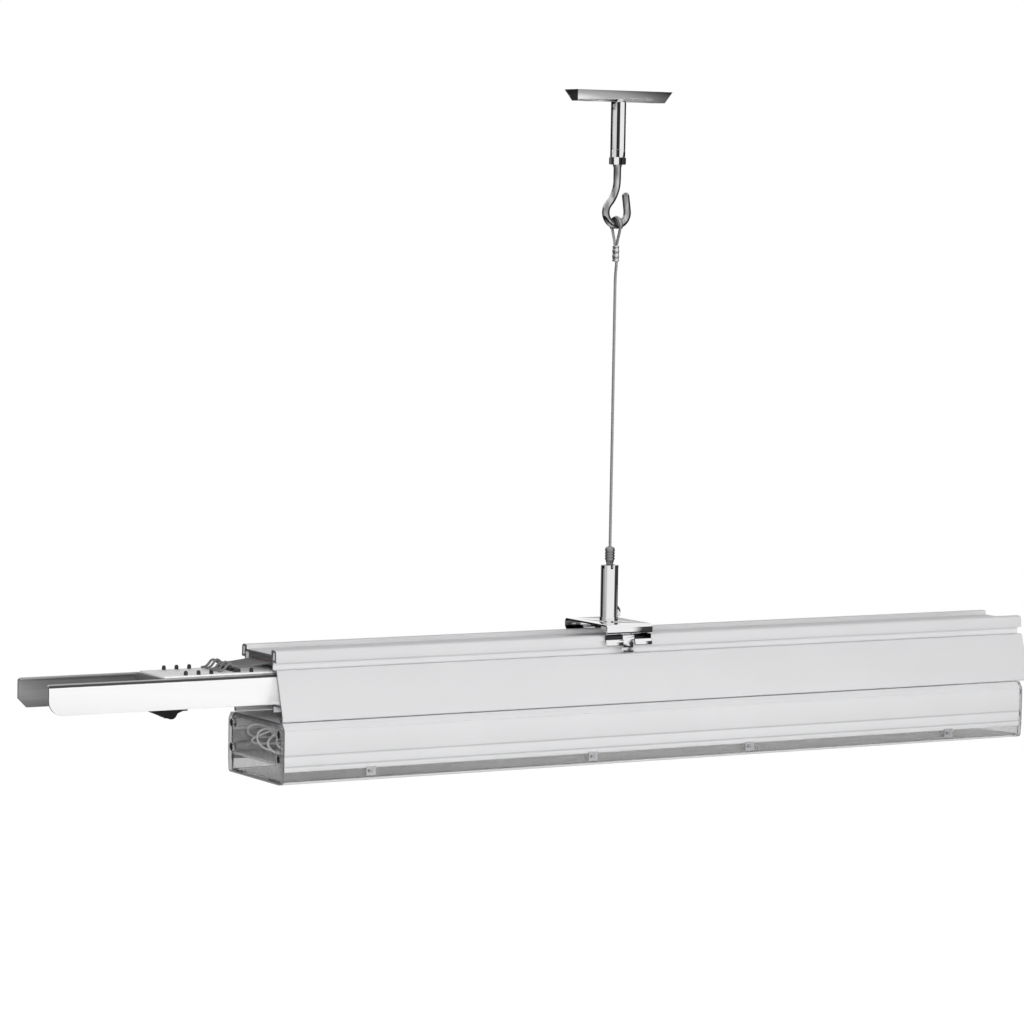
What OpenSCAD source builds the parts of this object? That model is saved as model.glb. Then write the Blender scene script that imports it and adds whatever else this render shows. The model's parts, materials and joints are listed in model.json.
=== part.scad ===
// One length of LED trunking light hung from a single wire: ceiling plate, hook, wire rope with a
// crimped eye, plunger-type wire gripper, clip-on bracket, extruded rail with its joiner, LED module.
// Millimetres, +Z up, X along the trunk. The origin is the middle of the ceiling plate's top face,
// straight above the wire.

/* [Ceiling plate] */
// Length of the face against the ceiling
plate_l = 75; // [66:1:110]
// Width of the face against the ceiling
plate_w = 17.5; // [14:0.5:26]
// Length of the lower face
plate_low_l = 69; // [62:1:75]
// Width of the lower face
plate_low_w = 7.5; // [7:0.5:14]
// Height of the plate
plate_h = 7.5; // [6.5:0.5:12]
// Distance between the two ceiling screws
fix_spacing = 50; // [40:1:54]
// Diameter of each ceiling screw hole
fix_d = 4.5; // [3.5:0.1:5]
// Diameter of the screw head's seat
fix_head_d = 6.6; // [5.8:0.1:6.8]
// Depth of the screw head's seat
fix_head_h = 2.4; // [1:0.1:3.5]

/* [Hook and its fastening] */
// Width across flats of the spacer and the nuts
hex_af = 10; // [9:0.5:13]
// Length of the hexagon spacer
spacer_l = 32; // [20:1:60]
// Height of one lock nut
nut_h = 5; // [3:0.5:6]
// Diameter of the threaded shank
thread_d = 6; // [5:0.5:6.5]
// Diameter of the hook's round bar
bar_d = 5.2; // [4:0.1:5.8]
// Radius of the bowl at the middle of the bar
bowl_r = 8.5; // [7.5:0.1:12]
// Drop from the lower nut to the middle of the bowl
hook_drop = 32; // [28:0.5:45]
// Angle at which the bar leaves the shank for the bowl
neck_angle = 43; // [38:1:50]
// Length of the straight end above the bowl
tip_l = 10; // [6:0.5:14]
// Inward lean of the straight end
tip_lean = 8; // [0:1:12]
// Depth of thread in the spacer
thread_in = 14; // [8:1:18]

/* [Wire rope] */
// Diameter of the wire rope
wire_d = 2; // [1.5:0.1:2.2]
// Length from the middle of the eye to the gripper's rim
wire_free = 230; // [228:0.5:232]
// Width of the thimble
thimble_w = 3.8; // [3.6:0.1:4.4]
// Wall between the thimble's bore and its groove
thimble_wall = 0.9; // [0.6:0.05:1]
// Height of the thimble's flanges over the groove
thimble_lip = 1.4; // [0.8:0.1:2]
// Angle that the thimble wraps round the bar
thimble_wrap = 236; // [200:2:250]
// Length of the crimp sleeve
ferrule_l = 10.6; // [8:0.2:12]
// Wall of the crimp sleeve
ferrule_wall = 0.8; // [0.5:0.1:1.2]
// Depth of the crimp sleeve's top below the middle of the eye
ferrule_drop = 14; // [13.5:0.1:14.5]
// Distance of each strand from the middle in the crimp sleeve
strand_half = 1.15; // [1.12:0.01:1.2]

/* [Wire gripper] */
// Outer diameter of the barrel
barrel_d = 12; // [11.6:0.1:16]
// Length of the barrel
barrel_l = 35.2; // [34:0.2:42]
// Bore of the barrel
bore_d = 9.4; // [9.2:0.1:9.8]
// Opening at the barrel's rim
mouth_d = 7.2; // [7:0.1:7.8]
// Thickness of the shoulder that keeps the plunger in
shoulder_l = 4.2; // [3.5:0.1:5]
// Number of notches in the rim
notch_count = 6; // [4:1:8]
// Width of each notch
notch_w = 1.8; // [1:0.1:2.2]
// Depth of each notch
notch_h = 2.4; // [1:0.1:3]
// Diameter of the plunger's stem
stem_d = 6.7; // [6:0.1:6.8]
// Height of the plunger over the rim
stem_h = 12.5; // [8:0.5:16]
// Number of grip ribs on the plunger
rib_count = 4; // [2:1:5]
// Travel of the plunger
press_travel = 3; // [1:0.1:3]
// Diameter of the plunger's inner flange
flange_d = 8.7; // [8.2:0.1:8.8]
// Thickness of the plunger's inner flange
flange_h = 2; // [1.2:0.1:2.4]
// Outer diameter of the ball cage
cage_d = 4.6; // [4.4:0.1:4.8]
// Length of the ball cage below the flange
cage_l = 11.5; // [10.5:0.1:12]
// Diameter of each pinching ball
ball_d = 2.4; // [2.2:0.1:2.5]
// Number of pinching balls
ball_count = 3; // [2:1:4]
// Length of the conical seat
cone_l = 10; // [8:0.1:11]
// Diameter of the spring's wire
coil_wire_d = 0.7; // [0.5:0.05:0.8]
// Number of turns of the spring
coil_turns = 6; // [4:1:7]
// Height of the plug in the barrel's lower end
plug_h = 7; // [5.5:0.1:7.4]
// Height of the foot under the barrel
foot_h = 2.5; // [1.5:0.1:4]
// Diameter of the foot
foot_d = 13; // [12:0.2:16]
// Diameter of the side exit for the wire's tail
port_d = 5.2; // [4:0.1:6.4]
// How far the side exit stands out of the barrel
port_out = 2.2; // [1:0.1:4]
// Height of the side exit's middle over the barrel's lower end
port_z = 12; // [11:0.1:14]

/* [Clip-on bracket] */
// Length of the bracket along the rail
clamp_l = 36; // [28:1:60]
// Thickness of the spring steel
clamp_t = 1.2; // [0.8:0.1:1.4]
// Height of the bracket's top face over the rail's heads
clamp_rise = 7; // [6.8:0.1:8]
// Width of the middle tongue of each leg
tongue_w = 8; // [5:0.5:14]
// Width of the slits beside the tongue
slit_w = 0.8; // [0.4:0.1:1.5]
// How far the bracket's shoulder stands out past the recess
clamp_shoulder = 1.7; // [0.8:0.1:2.6]

/* [Rail] */
// Length of the rail
rail_l = 600; // [520:10:1500]
// Distance from the rail's left end to the wire
hang_x = 266; // [200:1:300]
// Height of the rail
rail_h = 45.3; // [44:0.1:48]
// Wall thickness of the rail
rail_t = 1.5; // [1.2:0.1:1.7]
// Half width over the two heads
head_half = 24; // [23.5:0.1:24.6]
// Width of each head
head_w = 6.5; // [5:0.1:7]
// Height of each head
head_h = 8; // [7:0.1:8.4]
// Rounding of each head's outer edge
head_r = 2.2; // [0.5:0.1:2.6]
// Depth of the channel between the heads
channel_d = 3; // [2:0.1:3.2]
// Half width at the floor of the side grooves
groove_half = 20; // [19.6:0.1:20.8]
// Height of the side grooves
groove_h = 4.7; // [4.4:0.1:5]
// Half width at the top of the sloping sides
shoulder_half = 25.5; // [25.2:0.1:26.5]
// Half width at the bottom of the sloping sides
skirt_half = 34.2; // [33.6:0.1:35]
// Height of the upright strip along the lower edge
skirt_h = 3.7; // [2:0.1:5]
// Width of the lip turned in along the lower edge
lip_w = 2.9; // [2:0.1:4]
// Depth of the inner ledges below the heads
ledge_z = 34.4; // [33.6:0.1:35]
// Half width between the inner ledges
ledge_half = 20; // [19:0.1:21]
// Height of the hooks along the inner ledges
ledge_hook_h = 4; // [2:0.1:5]

/* [Conductors] */
// Number of conductors
pole_count = 5; // [3:1:5]
// Distance between conductors
pole_pitch = 6; // [5:0.1:6.4]
// Width of the insulating profile
insul_w = 34; // [33:0.2:36]
// Height of the insulating profile
insul_h = 6; // [5.2:0.1:6.2]
// Width of each contact slot
slot_w = 2.6; // [1.8:0.1:3]
// Depth of each contact slot
slot_h = 3.6; // [2.8:0.1:4]
// Thickness of each copper strip
strip_t = 0.8; // [0.5:0.1:1.2]

/* [Joiner] */
// Length of the joiner outside the rail
coupler_out = 158; // [130:1:180]
// Length of the joiner inside the rail
coupler_in = 140; // [100:1:160]
// Sheet thickness of the joiner
coupler_t = 1.5; // [1.2:0.1:2]
// Depth of the joiner's web below the heads
web_z = 15; // [14.8:0.1:15.4]
// Length of the web outside the rail
web_out = 77; // [72:1:90]
// Width of the strips left of the web along each flange
rim_w = 3.2; // [2:0.1:5]
// Radius of the near flange's lower corner
flange_r = 10; // [4:0.5:14]
// Size of the far flange's lower corner chamfer
flange_chamfer = 6; // [2:0.5:10]
// Drop of the web's turned-down end
web_lip = 5; // [3:0.5:9]
// Width of the feet that the screws hold
tab_w = 12; // [9:0.5:20]
// Length of the feet out from the flange
tab_l = 4.9; // [4.6:0.1:5]
// Diameter of the joiner's screws
joint_screw_d = 3; // [2.5:0.1:3.4]

/* [Contact block] */
// Length of the contact plate outside the rail
carrier_out = 76; // [72:1:77]
// Width of the contact plate
carrier_w = 36; // [35:0.5:36.4]
// Thickness of the contact plate
carrier_t = 1.2; // [0.8:0.1:1.5]
// Half distance between the two rows of posts
pin_half = 16; // [14:0.1:16.4]
// Diameter of each post
pin_d = 2.6; // [1.8:0.1:3]
// Height of each post
pin_h = 2.8; // [1.5:0.1:3]
// Distance between posts
pin_pitch = 9; // [7:0.1:9.4]
// Number of posts in a row, before the terminals
pin_count = 3; // [2:1:3]
// Diameter of the short wires into the rail
link_d = 1.8; // [1:0.1:1.9]

/* [Catch] */
// Distance of the catch's pivot from the rail's end
catch_x = 42; // [40:0.5:50]
// Depth of the catch's pivot below the heads
catch_z = 30; // [28:0.1:31]
// Diameter of the pivot pin
catch_pin_d = 3; // [2:0.1:3.4]
// Length of the catch from its pivot to its tip
catch_l = 35; // [30:0.5:38]
// Width of the catch
catch_w = 14; // [12:0.5:24]
// Depth of the catch's wedge below the heads
wedge_z = 42.8; // [40:0.1:43.4]
// Diameter of the catch's thumb knob
knob_d = 4.5; // [3:0.1:8]

/* [LED module] */
// Length of the module short of the rail's
module_short = 5; // [4:0.5:12]
// Distance of the module's left end outside the rail's
module_out = 2.5; // [0:0.5:2.5]
// Half width of the module
module_half = 37.5; // [37:0.1:39]
// Height of the module's body
body_h = 31.2; // [30:0.1:34]
// Gap between the rail's lower edge and the module
seam = 0.5; // [0.3:0.1:1]
// Wall thickness of the module's body
body_t = 1.5; // [1.2:0.1:1.8]
// Height of the bevel along the module's upper edge
bevel_h = 4.2; // [3:0.1:5]
// Inset of the module's upper edge
bevel_in = 3.4; // [2:0.1:4]
// Width of the fine grooves along the module's sides
line_w = 0.8; // [0.4:0.1:1.2]
// Depth of the fine grooves along the module's sides
line_d = 0.45; // [0.2:0.05:0.8]
// Height of the lens
lens_h = 8.3; // [7:0.1:10]
// Wall thickness of the lens
lens_t = 1.8; // [1.2:0.1:2.4]
// Number of ridges inside the lens
ridge_count = 14; // [6:1:20]
// Thickness of the end plates
end_t = 2.5; // [2:0.1:4]
// Diameter of the end plates' screws
end_screw_d = 3; // [2.5:0.1:3.5]
// Thickness of the LED board
board_t = 1.6; // [1:0.1:2]
// Number of LEDs in a row
led_count = 28; // [10:1:40]
// Size of each LED
led_w = 5; // [3:0.1:6]
// Height of each LED
led_h = 1.2; // [0.8:0.1:2]
// Length of the driver
driver_l = 240; // [180:5:260]
// Width of the driver
driver_w = 40; // [30:1:46]
// Height of the driver
driver_h = 21; // [16:0.5:22]
// Distance of the driver's left end from the module's left end
driver_start = 226; // [80:1:320]
// Length of each lens clip
clip_l = 7; // [5:0.1:12]
// Diameter of the white leads
lead_d = 1.7; // [1:0.1:2]

/* [Module plug and clips] */
// Distance of the plug's middle from the module's left end
plug_x = 400; // [360:1:440]
// Length of the plug
plug_l = 26; // [20:1:50]
// Width of the plug
plug_w = 33; // [28:0.5:35]
// Thickness of each contact blade
blade_t = 0.8; // [0.5:0.1:1.2]
// Distance of each spring clip from the module's ends
spring_x = 90; // [85:1:100]
// Length of each spring clip
spring_l = 14; // [8:0.5:24]
// Thickness of each spring clip
spring_t = 0.8; // [0.5:0.1:1]

/* [Hidden] */

// Facets of round parts, of small round parts and of thin wires
round_fn = 64;
small_fn = 32;
thin_fn = 24;
// Running play between pieces, and the finer play of pins and sleeves
play = 0.3;
fine_play = 0.05;
// Overrun of every cut
over = 1;
// Bore for a thread and bore for a small screw
thread_bore = thread_d + 2 * fine_play;
screw_bore = end_screw_d + 2 * fine_play;

// Hook: radius of the neck's bend, and the heights of the pieces below the ceiling face
nuts_z = plate_h + spacer_l;
shank_z = nuts_z + 2 * nut_h;
bowl_z = shank_z + hook_drop;
neck_r = bowl_r * cos(neck_angle) / (1 - cos(neck_angle));
neck_z = bowl_z - (bowl_r + neck_r) * sin(neck_angle);
eye_z = bowl_z + bowl_r;
thimble_bore = bar_d / 2 + play + bowl_r - sqrt(bowl_r * bowl_r - thimble_w * thimble_w / 4);
thimble_groove = thimble_bore + thimble_wall;

// Gripper: depths below the rim
rim_z = eye_z + wire_free;
flange_z = shoulder_l + play;
cage_z = flange_z + flange_h + cage_l;
cone_z = flange_z + flange_h + press_travel + fine_play;
ball_z = cone_z + cone_l * 0.45;
stem_bore = wire_d + 2 * play;
ball_orbit = wire_d / 2 + fine_play + ball_d / 2 + play / 2;
cone_mid_d = 2 * ball_orbit + ball_d + play;
cone_slope_share = 0.095;
cage_foot_d = 6;
cage_foot_h = 1;
coil_mean_d = 5.2;
plug_z = barrel_l - plug_h;
tail_bore_d = wire_d + 2 * play;
tail_bore_h = 5;
stud_l = 8;
clamp_top = rim_z + barrel_l + foot_h + play;

// Rail: the heads' top is the trunk's own zero height
lip_top = clamp_top + clamp_rise;
shoulder_z = head_h + groove_h;
crease_z = rail_h - skirt_h;
side_slope = (skirt_half - shoulder_half) / (crease_z - shoulder_z);
side_t = rail_t * sqrt(1 + side_slope * side_slope);
coupler_half = side_in(web_z) - play;
flange_foot = ledge_z;
insul_z = channel_d + rail_t;
pole_y = [for (i = [0:pole_count - 1]) (i - (pole_count - 1) / 2) * pole_pitch];
catch_notch_l = 7;

// Module: depths below the rail's heads
module_l = rail_l - module_short;
module_z = rail_h + seam;
body_z = module_z + body_h;
lens_z = body_z + lens_h;
board_up = 4.8;
board_z = body_z - board_up;
rib_t = 1;
rib_w = 2.6;
clip_shares = [0.106, 0.39];
screw_head_d = 5.6;
screw_head_h = 1.6;

// Inner face of the rail's sloping side at a depth below the heads
function side_in(depth) = shoulder_half + side_slope * (depth - shoulder_z) - side_t;

// Points of an arc
function arc(c, r, a0, a1, n) = [for (i = [0:n]) let (a = a0 + (a1 - a0) * i / n)
    [c.x + r * cos(a), c.y + r * sin(a)]];
// The mirrored whole of an outline's right half
function mirrored(half) = concat(half, [for (i = [len(half) - 1:-1:0]) [-half[i].x, half[i].y]]);
// A fine groove across an upright side at a depth below the heads
function fine_groove(half, depth) = [[half, -depth], [half - line_d, -depth - line_w * 0.25],
    [half - line_d, -depth - line_w * 0.75], [half, -depth - line_w]];

// Smooth curve through a route's points, and the rings of a tube along it
function unit(v) = v / norm(v);
function between(a, b, c, d, t) = 0.5 * (2 * b + (c - a) * t + (2 * a - 5 * b + 4 * c - d) * t * t
    + (3 * b - a - 3 * c + d) * t * t * t);
function smooth(p, n) = concat([for (i = [0:len(p) - 2]) for (k = [0:n - 1])
    between(p[max(i - 1, 0)], p[i], p[i + 1], p[min(i + 2, len(p) - 1)], k / n)], [p[len(p) - 1]]);
function heading(p, i) = unit(p[min(i + 1, len(p) - 1)] - p[max(i - 1, 0)]);
function ring(p, i, r, sides, ref) = let (t = heading(p, i), u = unit(cross(ref, t)), v = cross(t, u))
    [for (k = [0:sides - 1]) p[i] + r * (u * cos(360 * k / sides) + v * sin(360 * k / sides))];

module tube(path, d, sides, ref) {
    last = len(path) - 1;
    points = [for (i = [0:last]) each ring(path, i, d / 2, sides, ref)];
    ends = [[for (k = [0:sides - 1]) k], [for (k = [sides - 1:-1:0]) last * sides + k]];
    walls = [for (i = [0:last - 1]) for (k = [0:sides - 1])
        let (a = i * sides + k, b = i * sides + (k + 1) % sides)
        each [[a, a + sides, b + sides], [a, b + sides, b]]];
    polyhedron(points, concat(ends, walls), convexity = 8);
}

module below(depth) {
    translate([0, 0, -depth]) children();
}

module on_trunk() {
    translate([-hang_x, 0, -lip_top]) children();
}

// Pieces of the LED module are placed from its left end
module on_module() {
    translate([-hang_x - module_out, 0, -lip_top]) children();
}

// A section drawn in half widths and heights, run along the trunk from x0 to x1
module run(x0, x1) {
    translate([x0, 0, 0]) rotate([90, 0, 90]) linear_extrude(x1 - x0) children();
}

// A side view drawn in lengths and heights, run across the trunk between two half widths
module across(half) {
    rotate([90, 0, 0]) linear_extrude(2 * half, center = true) children();
}

module both_sides() {
    children();
    mirror([0, 1, 0]) children();
}

module block(x0, x1, half, z0, z1) {
    translate([x0, -half, z0]) cube([x1 - x0, 2 * half, z1 - z0]);
}

// A folded sheet of one thickness, drawn along the middle of the sheet, with mitred bends
function side_of(v) = [-v.y, v.x] / norm(v);
function mitre(p, i) = let (a = side_of(p[max(i, 1)] - p[max(i, 1) - 1]), last = len(p) - 1,
    b = side_of(p[min(i + 1, last)] - p[min(i, last - 1)])) (a + b) / (1 + a * b);
function folded(p, t) = concat([for (i = [0:len(p) - 1]) p[i] + mitre(p, i) * t / 2],
    [for (i = [len(p) - 1:-1:0]) p[i] - mitre(p, i) * t / 2]);
// The same line with every inner corner cut back and rounded by one more point
function eased(p, cut) = concat([p[0]], [for (i = [1:len(p) - 2]) let (a = unit(p[i - 1] - p[i]),
    b = unit(p[i + 1] - p[i]), c = min(cut, norm(p[i - 1] - p[i]) * 0.4, norm(p[i + 1] - p[i]) * 0.4))
    each [p[i] + a * c, p[i] + (a + b) * c * 0.25, p[i] + b * c]], [p[len(p) - 1]]);

module strip(p, t) {
    polygon(folded(eased(p, t), t));
}

// Part of a round-bar ring in the upright plane through the trunk's length
module bend(r, d, from, sweep) {
    rotate([90, 0, 0]) rotate([0, 0, from]) rotate_extrude(angle = sweep, $fn = round_fn)
        translate([r, 0]) circle(d = d, $fn = small_fn);
}

// Hexagon bar standing on zero, chamfered at both ends
module hex_bar(l) {
    edge = hex_af * 0.1;
    slope = edge * 0.55;
    intersection() {
        cylinder(d = hex_af / cos(30), h = l, $fn = 6);
        rotate_extrude($fn = round_fn) polygon([[0, 0], [hex_af / 2, 0], [hex_af / 2 + edge, slope],
            [hex_af / 2 + edge, l - slope], [hex_af / 2, l], [0, l]]);
    }
}

// Ceiling plate, hook and their fastening

plate_stud_l = 4.5;

function wedge(top, low) = [[-top / 2, 0], [top / 2, 0], [low / 2, -plate_h], [-low / 2, -plate_h]];

module ceiling_plate() color("silver") difference() {
    intersection() {
        across(plate_w) polygon(wedge(plate_l, plate_low_l));
        run(-plate_l, plate_l) polygon(wedge(plate_w, plate_low_w));
    }
    for (s = [-1, 1]) translate([s * fix_spacing / 2, 0, 0]) {
        below(plate_h + over) cylinder(d = fix_d, h = plate_h + 2 * over, $fn = small_fn);
        below(plate_h + over) cylinder(d = fix_head_d, h = fix_head_h + over, $fn = small_fn);
    }
    below(plate_h + over) cylinder(d = thread_bore, h = plate_stud_l + play + over, $fn = small_fn);
}

module hex_spacer() color("silver") below(nuts_z) difference() {
    union() {
        hex_bar(spacer_l);
        cylinder(d = thread_d, h = spacer_l + plate_stud_l, $fn = small_fn);
    }
    below(over) cylinder(d = thread_bore, h = thread_in + play + over, $fn = small_fn);
}

// The second nut stands turned against the first
nut_turn = 20;

module hook_nuts() color("silver") for (i = [1, 2]) {
    below(nuts_z + i * nut_h) difference() {
        rotate([0, 0, (i - 1) * nut_turn]) hex_bar(nut_h);
        below(over) cylinder(d = thread_bore, h = nut_h + 2 * over, $fn = small_fn);
    }
}

shank_show = 1.5;
// The neck and the tip are a hair thinner than the bowl, and run on into what they join
neck_bar_d = bar_d - 2 * fine_play;
neck_on = 1.5;

module hook() color("silver") {
    below(shank_z + shank_show)
        cylinder(d = thread_d, h = shank_show + 2 * nut_h + thread_in, $fn = small_fn);
    below(neck_z) cylinder(d = bar_d, h = neck_z - shank_z, $fn = small_fn);
    translate([-neck_r, 0, -neck_z])
        bend(neck_r, neck_bar_d, -neck_angle - neck_on, neck_angle + 2 * neck_on);
    below(bowl_z) bend(bowl_r, bar_d, 180 - neck_angle, 180 + neck_angle + tip_lean);
    below(bowl_z) translate([bowl_r * cos(tip_lean), 0, bowl_r * sin(tip_lean)]) rotate([0, -tip_lean, 0])
        rotate_extrude($fn = small_fn) polygon(concat([[0, -bar_d * 0.1], [neck_bar_d / 2, -bar_d * 0.1]],
            arc([0, tip_l], neck_bar_d / 2, 0, 90, 5)));
}

// Wire rope with its eye. Points of the route across the light and in height from the middle of
// the eye, from the end inside the gripper, up through the crimp sleeve, round the thimble and back
wire_route = [[0, -254], [0, -236], [0, -212], [0, -186], [0, -160], [0, -134], [0, -108], [0, -84],
    [0, -64], [0, -50], [0, -41], [-0.1, -36], [-0.4, -32], [-0.8, -29], [-1.1, -26.5], [-1.15, -24],
    [-1.15, -20], [-1.15, -16], [-1.15, -14], [-1.5, -12], [-2.5, -9], [-3.9, -5.6], [-5, -2.4],
    [-5.4, 0], [-5, 2.1], [-3.8, 3.8], [-2.1, 5], [0, 5.4], [2.1, 5], [3.8, 3.8], [5, 2.1],
    [5.4, 0], [5, -2.4], [3.9, -5.6], [2.5, -9], [1.5, -12], [1.15, -14], [1.15, -17], [1.15, -23]];

module eye_thimble() {
    edge = thimble_w / 2;
    slot = wire_d / 2 + play;
    outer = thimble_groove + thimble_lip;
    color("dimgray") below(eye_z) rotate([0, 90, 0]) rotate([0, 0, 180 - thimble_wrap / 2])
        rotate_extrude(angle = thimble_wrap, $fn = round_fn) polygon([[thimble_bore, -edge], [outer, -edge],
            [outer, -slot], [thimble_groove, -slot], [thimble_groove, slot], [outer, slot],
            [outer, edge], [thimble_bore, edge]]);
}

module suspension_wire() {
    path = smooth([for (p = wire_route) [0, p.x, p.y]], 2);
    color("gainsboro") below(eye_z) tube(path, wire_d, 8, [1, 0, 0]);
}

module ferrule_outline(r) {
    square([2 * strand_half, 2 * r], center = true);
    for (s = [-1, 1]) translate([s * strand_half, 0]) circle(r = r, $fn = small_fn);
}

module wire_ferrule() color("silver") below(eye_z + ferrule_drop + ferrule_l) rotate([0, 0, 90])
    linear_extrude(ferrule_l) difference() {
        ferrule_outline(wire_d / 2 + ferrule_wall);
        ferrule_outline(wire_d / 2 + fine_play);
    }

// Wire gripper, each piece from the rim downwards

port_tilt = 38;
port_l = 16;
notch_turn = 14;
neck_d = 4.4;

module port(d) {
    below(barrel_l - port_z) rotate([0, 180 - port_tilt, 0]) cylinder(d = d, h = port_l, $fn = small_fn);
}

module gripper_barrel() color("silver") below(rim_z) difference() {
    union() {
        below(barrel_l) cylinder(d = barrel_d, h = barrel_l, $fn = round_fn);
        intersection() {
            port(port_d);
            below(barrel_l) cylinder(r = barrel_d / 2 + port_out, h = barrel_l, $fn = round_fn);
        }
    }
    below(shoulder_l + over) cylinder(d = mouth_d, h = shoulder_l + 2 * over, $fn = round_fn);
    below(barrel_l + over) cylinder(d = bore_d, h = barrel_l + over - shoulder_l, $fn = round_fn);
    port(tail_bore_d);
    for (i = [0:notch_count - 1]) rotate([0, 0, notch_turn + 360 * i / notch_count])
        translate([0, -notch_w / 2, -notch_h]) cube([barrel_d, notch_w, notch_h + over]);
}

module gripper_base() color("silver") below(rim_z + barrel_l) difference() {
    union() {
        cylinder(d = bore_d - 2 * fine_play, h = plug_h, $fn = round_fn);
        below(foot_h) cylinder(d = foot_d, h = foot_h, $fn = round_fn);
        below(foot_h + stud_l) cylinder(d = thread_d, h = stud_l + foot_h, $fn = small_fn);
    }
    translate([0, 0, plug_h - tail_bore_h]) cylinder(d = tail_bore_d, h = tail_bore_h + over, $fn = small_fn);
}

module stud_nut() color("silver") below(clamp_top + clamp_t + play + nut_h) difference() {
    hex_bar(nut_h);
    below(over) cylinder(d = thread_bore, h = nut_h + 2 * over, $fn = small_fn);
}

module grip_cone() color("goldenrod") below(rim_z + cone_z + cone_l) difference() {
    cylinder(d = bore_d - 2 * fine_play, h = cone_l, $fn = round_fn);
    low = cone_mid_d + 2 * cone_slope_share * (cone_z + cone_l - ball_z);
    top = cone_mid_d - 2 * cone_slope_share * (ball_z - cone_z);
    below(fine_play) cylinder(d1 = low, d2 = top, h = cone_l + 2 * fine_play, $fn = round_fn);
}

module gripper_spring() {
    low = coil_wire_d / 2 + fine_play;
    rise = plug_z - cage_z - play - coil_wire_d - 2 * fine_play;
    steps = coil_turns * 8;
    path = [for (i = [0:steps]) let (a = 360 * i * coil_turns / steps)
        [coil_mean_d / 2 * cos(a), coil_mean_d / 2 * sin(a), low + rise * i / steps]];
    color("gray") below(rim_z + plug_z) tube(path, coil_wire_d, 6, [0, 0, 1]);
}

module gripper_plunger() {
    r = stem_d / 2;
    pitch = stem_h * 0.6 / rib_count;
    nick = r * 0.12;
    ribs = [for (i = [0:rib_count - 1]) let (z = stem_h * 0.84 - i * pitch)
        each [[r, z], [r, z - pitch * 0.6], [r - nick, z - pitch * 0.7], [r - nick, z - pitch * 0.9]]];
    cage_r = cage_d / 2;
    color("dimgray") below(rim_z) difference() {
        rotate_extrude($fn = round_fn) polygon(concat(
            [[stem_bore / 2, stem_h], [r * 0.6, stem_h], [r * 0.9, stem_h * 0.94]],
            ribs,
            [[neck_d / 2, play], [neck_d / 2, -flange_z], [flange_d / 2, -flange_z],
             [flange_d / 2, -flange_z - flange_h], [cage_r, -flange_z - flange_h],
             [cage_r, cage_foot_h - cage_z], [cage_foot_d / 2, cage_foot_h - cage_z],
             [cage_foot_d / 2, -cage_z], [stem_bore / 2, -cage_z]]));
        for (i = [0:ball_count - 1]) below(ball_z) rotate([0, 90, 360 * i / ball_count])
            cylinder(d = ball_d + 4 * fine_play, h = cage_d, $fn = small_fn);
    }
}

module gripper_balls() color("gainsboro") for (i = [0:ball_count - 1]) {
    below(rim_z + ball_z) rotate([0, 0, 360 * i / ball_count]) translate([ball_orbit, 0, 0])
        sphere(d = ball_d, $fn = small_fn);
}

// Clip-on bracket: a saddle over the heads whose middle tongues hook into the side grooves

head_flare = 0.2;
clamp_recess = head_half + head_flare + play + clamp_t / 2;
clamp_out = clamp_recess + clamp_shoulder;

// Each leg is drawn upwards along the middle of the sheet, with its bends as shares of what they
// follow. The tongues are cut free of the wings by slits that end at the recess
module clamp_bracket() {
    top = clamp_rise - clamp_t / 2;
    tongue = tongue_w / 2;
    wing_z = head_h * 0.4;
    wing_y = clamp_recess + clamp_shoulder * 0.88;
    hook_y = groove_half + (head_half - groove_half) * 0.72;
    hook_z = head_h + play + clamp_t / 2;
    saddle = [[clamp_recess, -wing_z], [clamp_recess, top * 0.06], [clamp_out, top * 0.22],
        [clamp_out, top - clamp_t], [clamp_out - clamp_t, top]];
    wing = concat([[wing_y, -head_h * 0.88], [wing_y, -wing_z - clamp_t * 1.2]], saddle);
    finger = concat([[clamp_recess + clamp_t * 0.6, -hook_z - clamp_t * 2.1],
        [hook_y, -hook_z - clamp_t * 1.25], [hook_y, -hook_z - clamp_t * 0.35],
        [clamp_recess, -hook_z + clamp_t * 0.35]], [for (i = [1:4]) saddle[i]]);
    color("silver") below(lip_top) difference() {
        union() {
            run(-clamp_l / 2, -tongue - slit_w) strip(mirrored(wing), clamp_t);
            run(-tongue - slit_w, -tongue) strip(mirrored(saddle), clamp_t);
            run(-tongue, tongue) strip(mirrored(finger), clamp_t);
            run(tongue, tongue + slit_w) strip(mirrored(saddle), clamp_t);
            run(tongue + slit_w, clamp_l / 2) strip(mirrored(wing), clamp_t);
        }
        cylinder(d = thread_d + play, h = clamp_rise + over, $fn = small_fn);
    }
}

// Rail and its conductors

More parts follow.
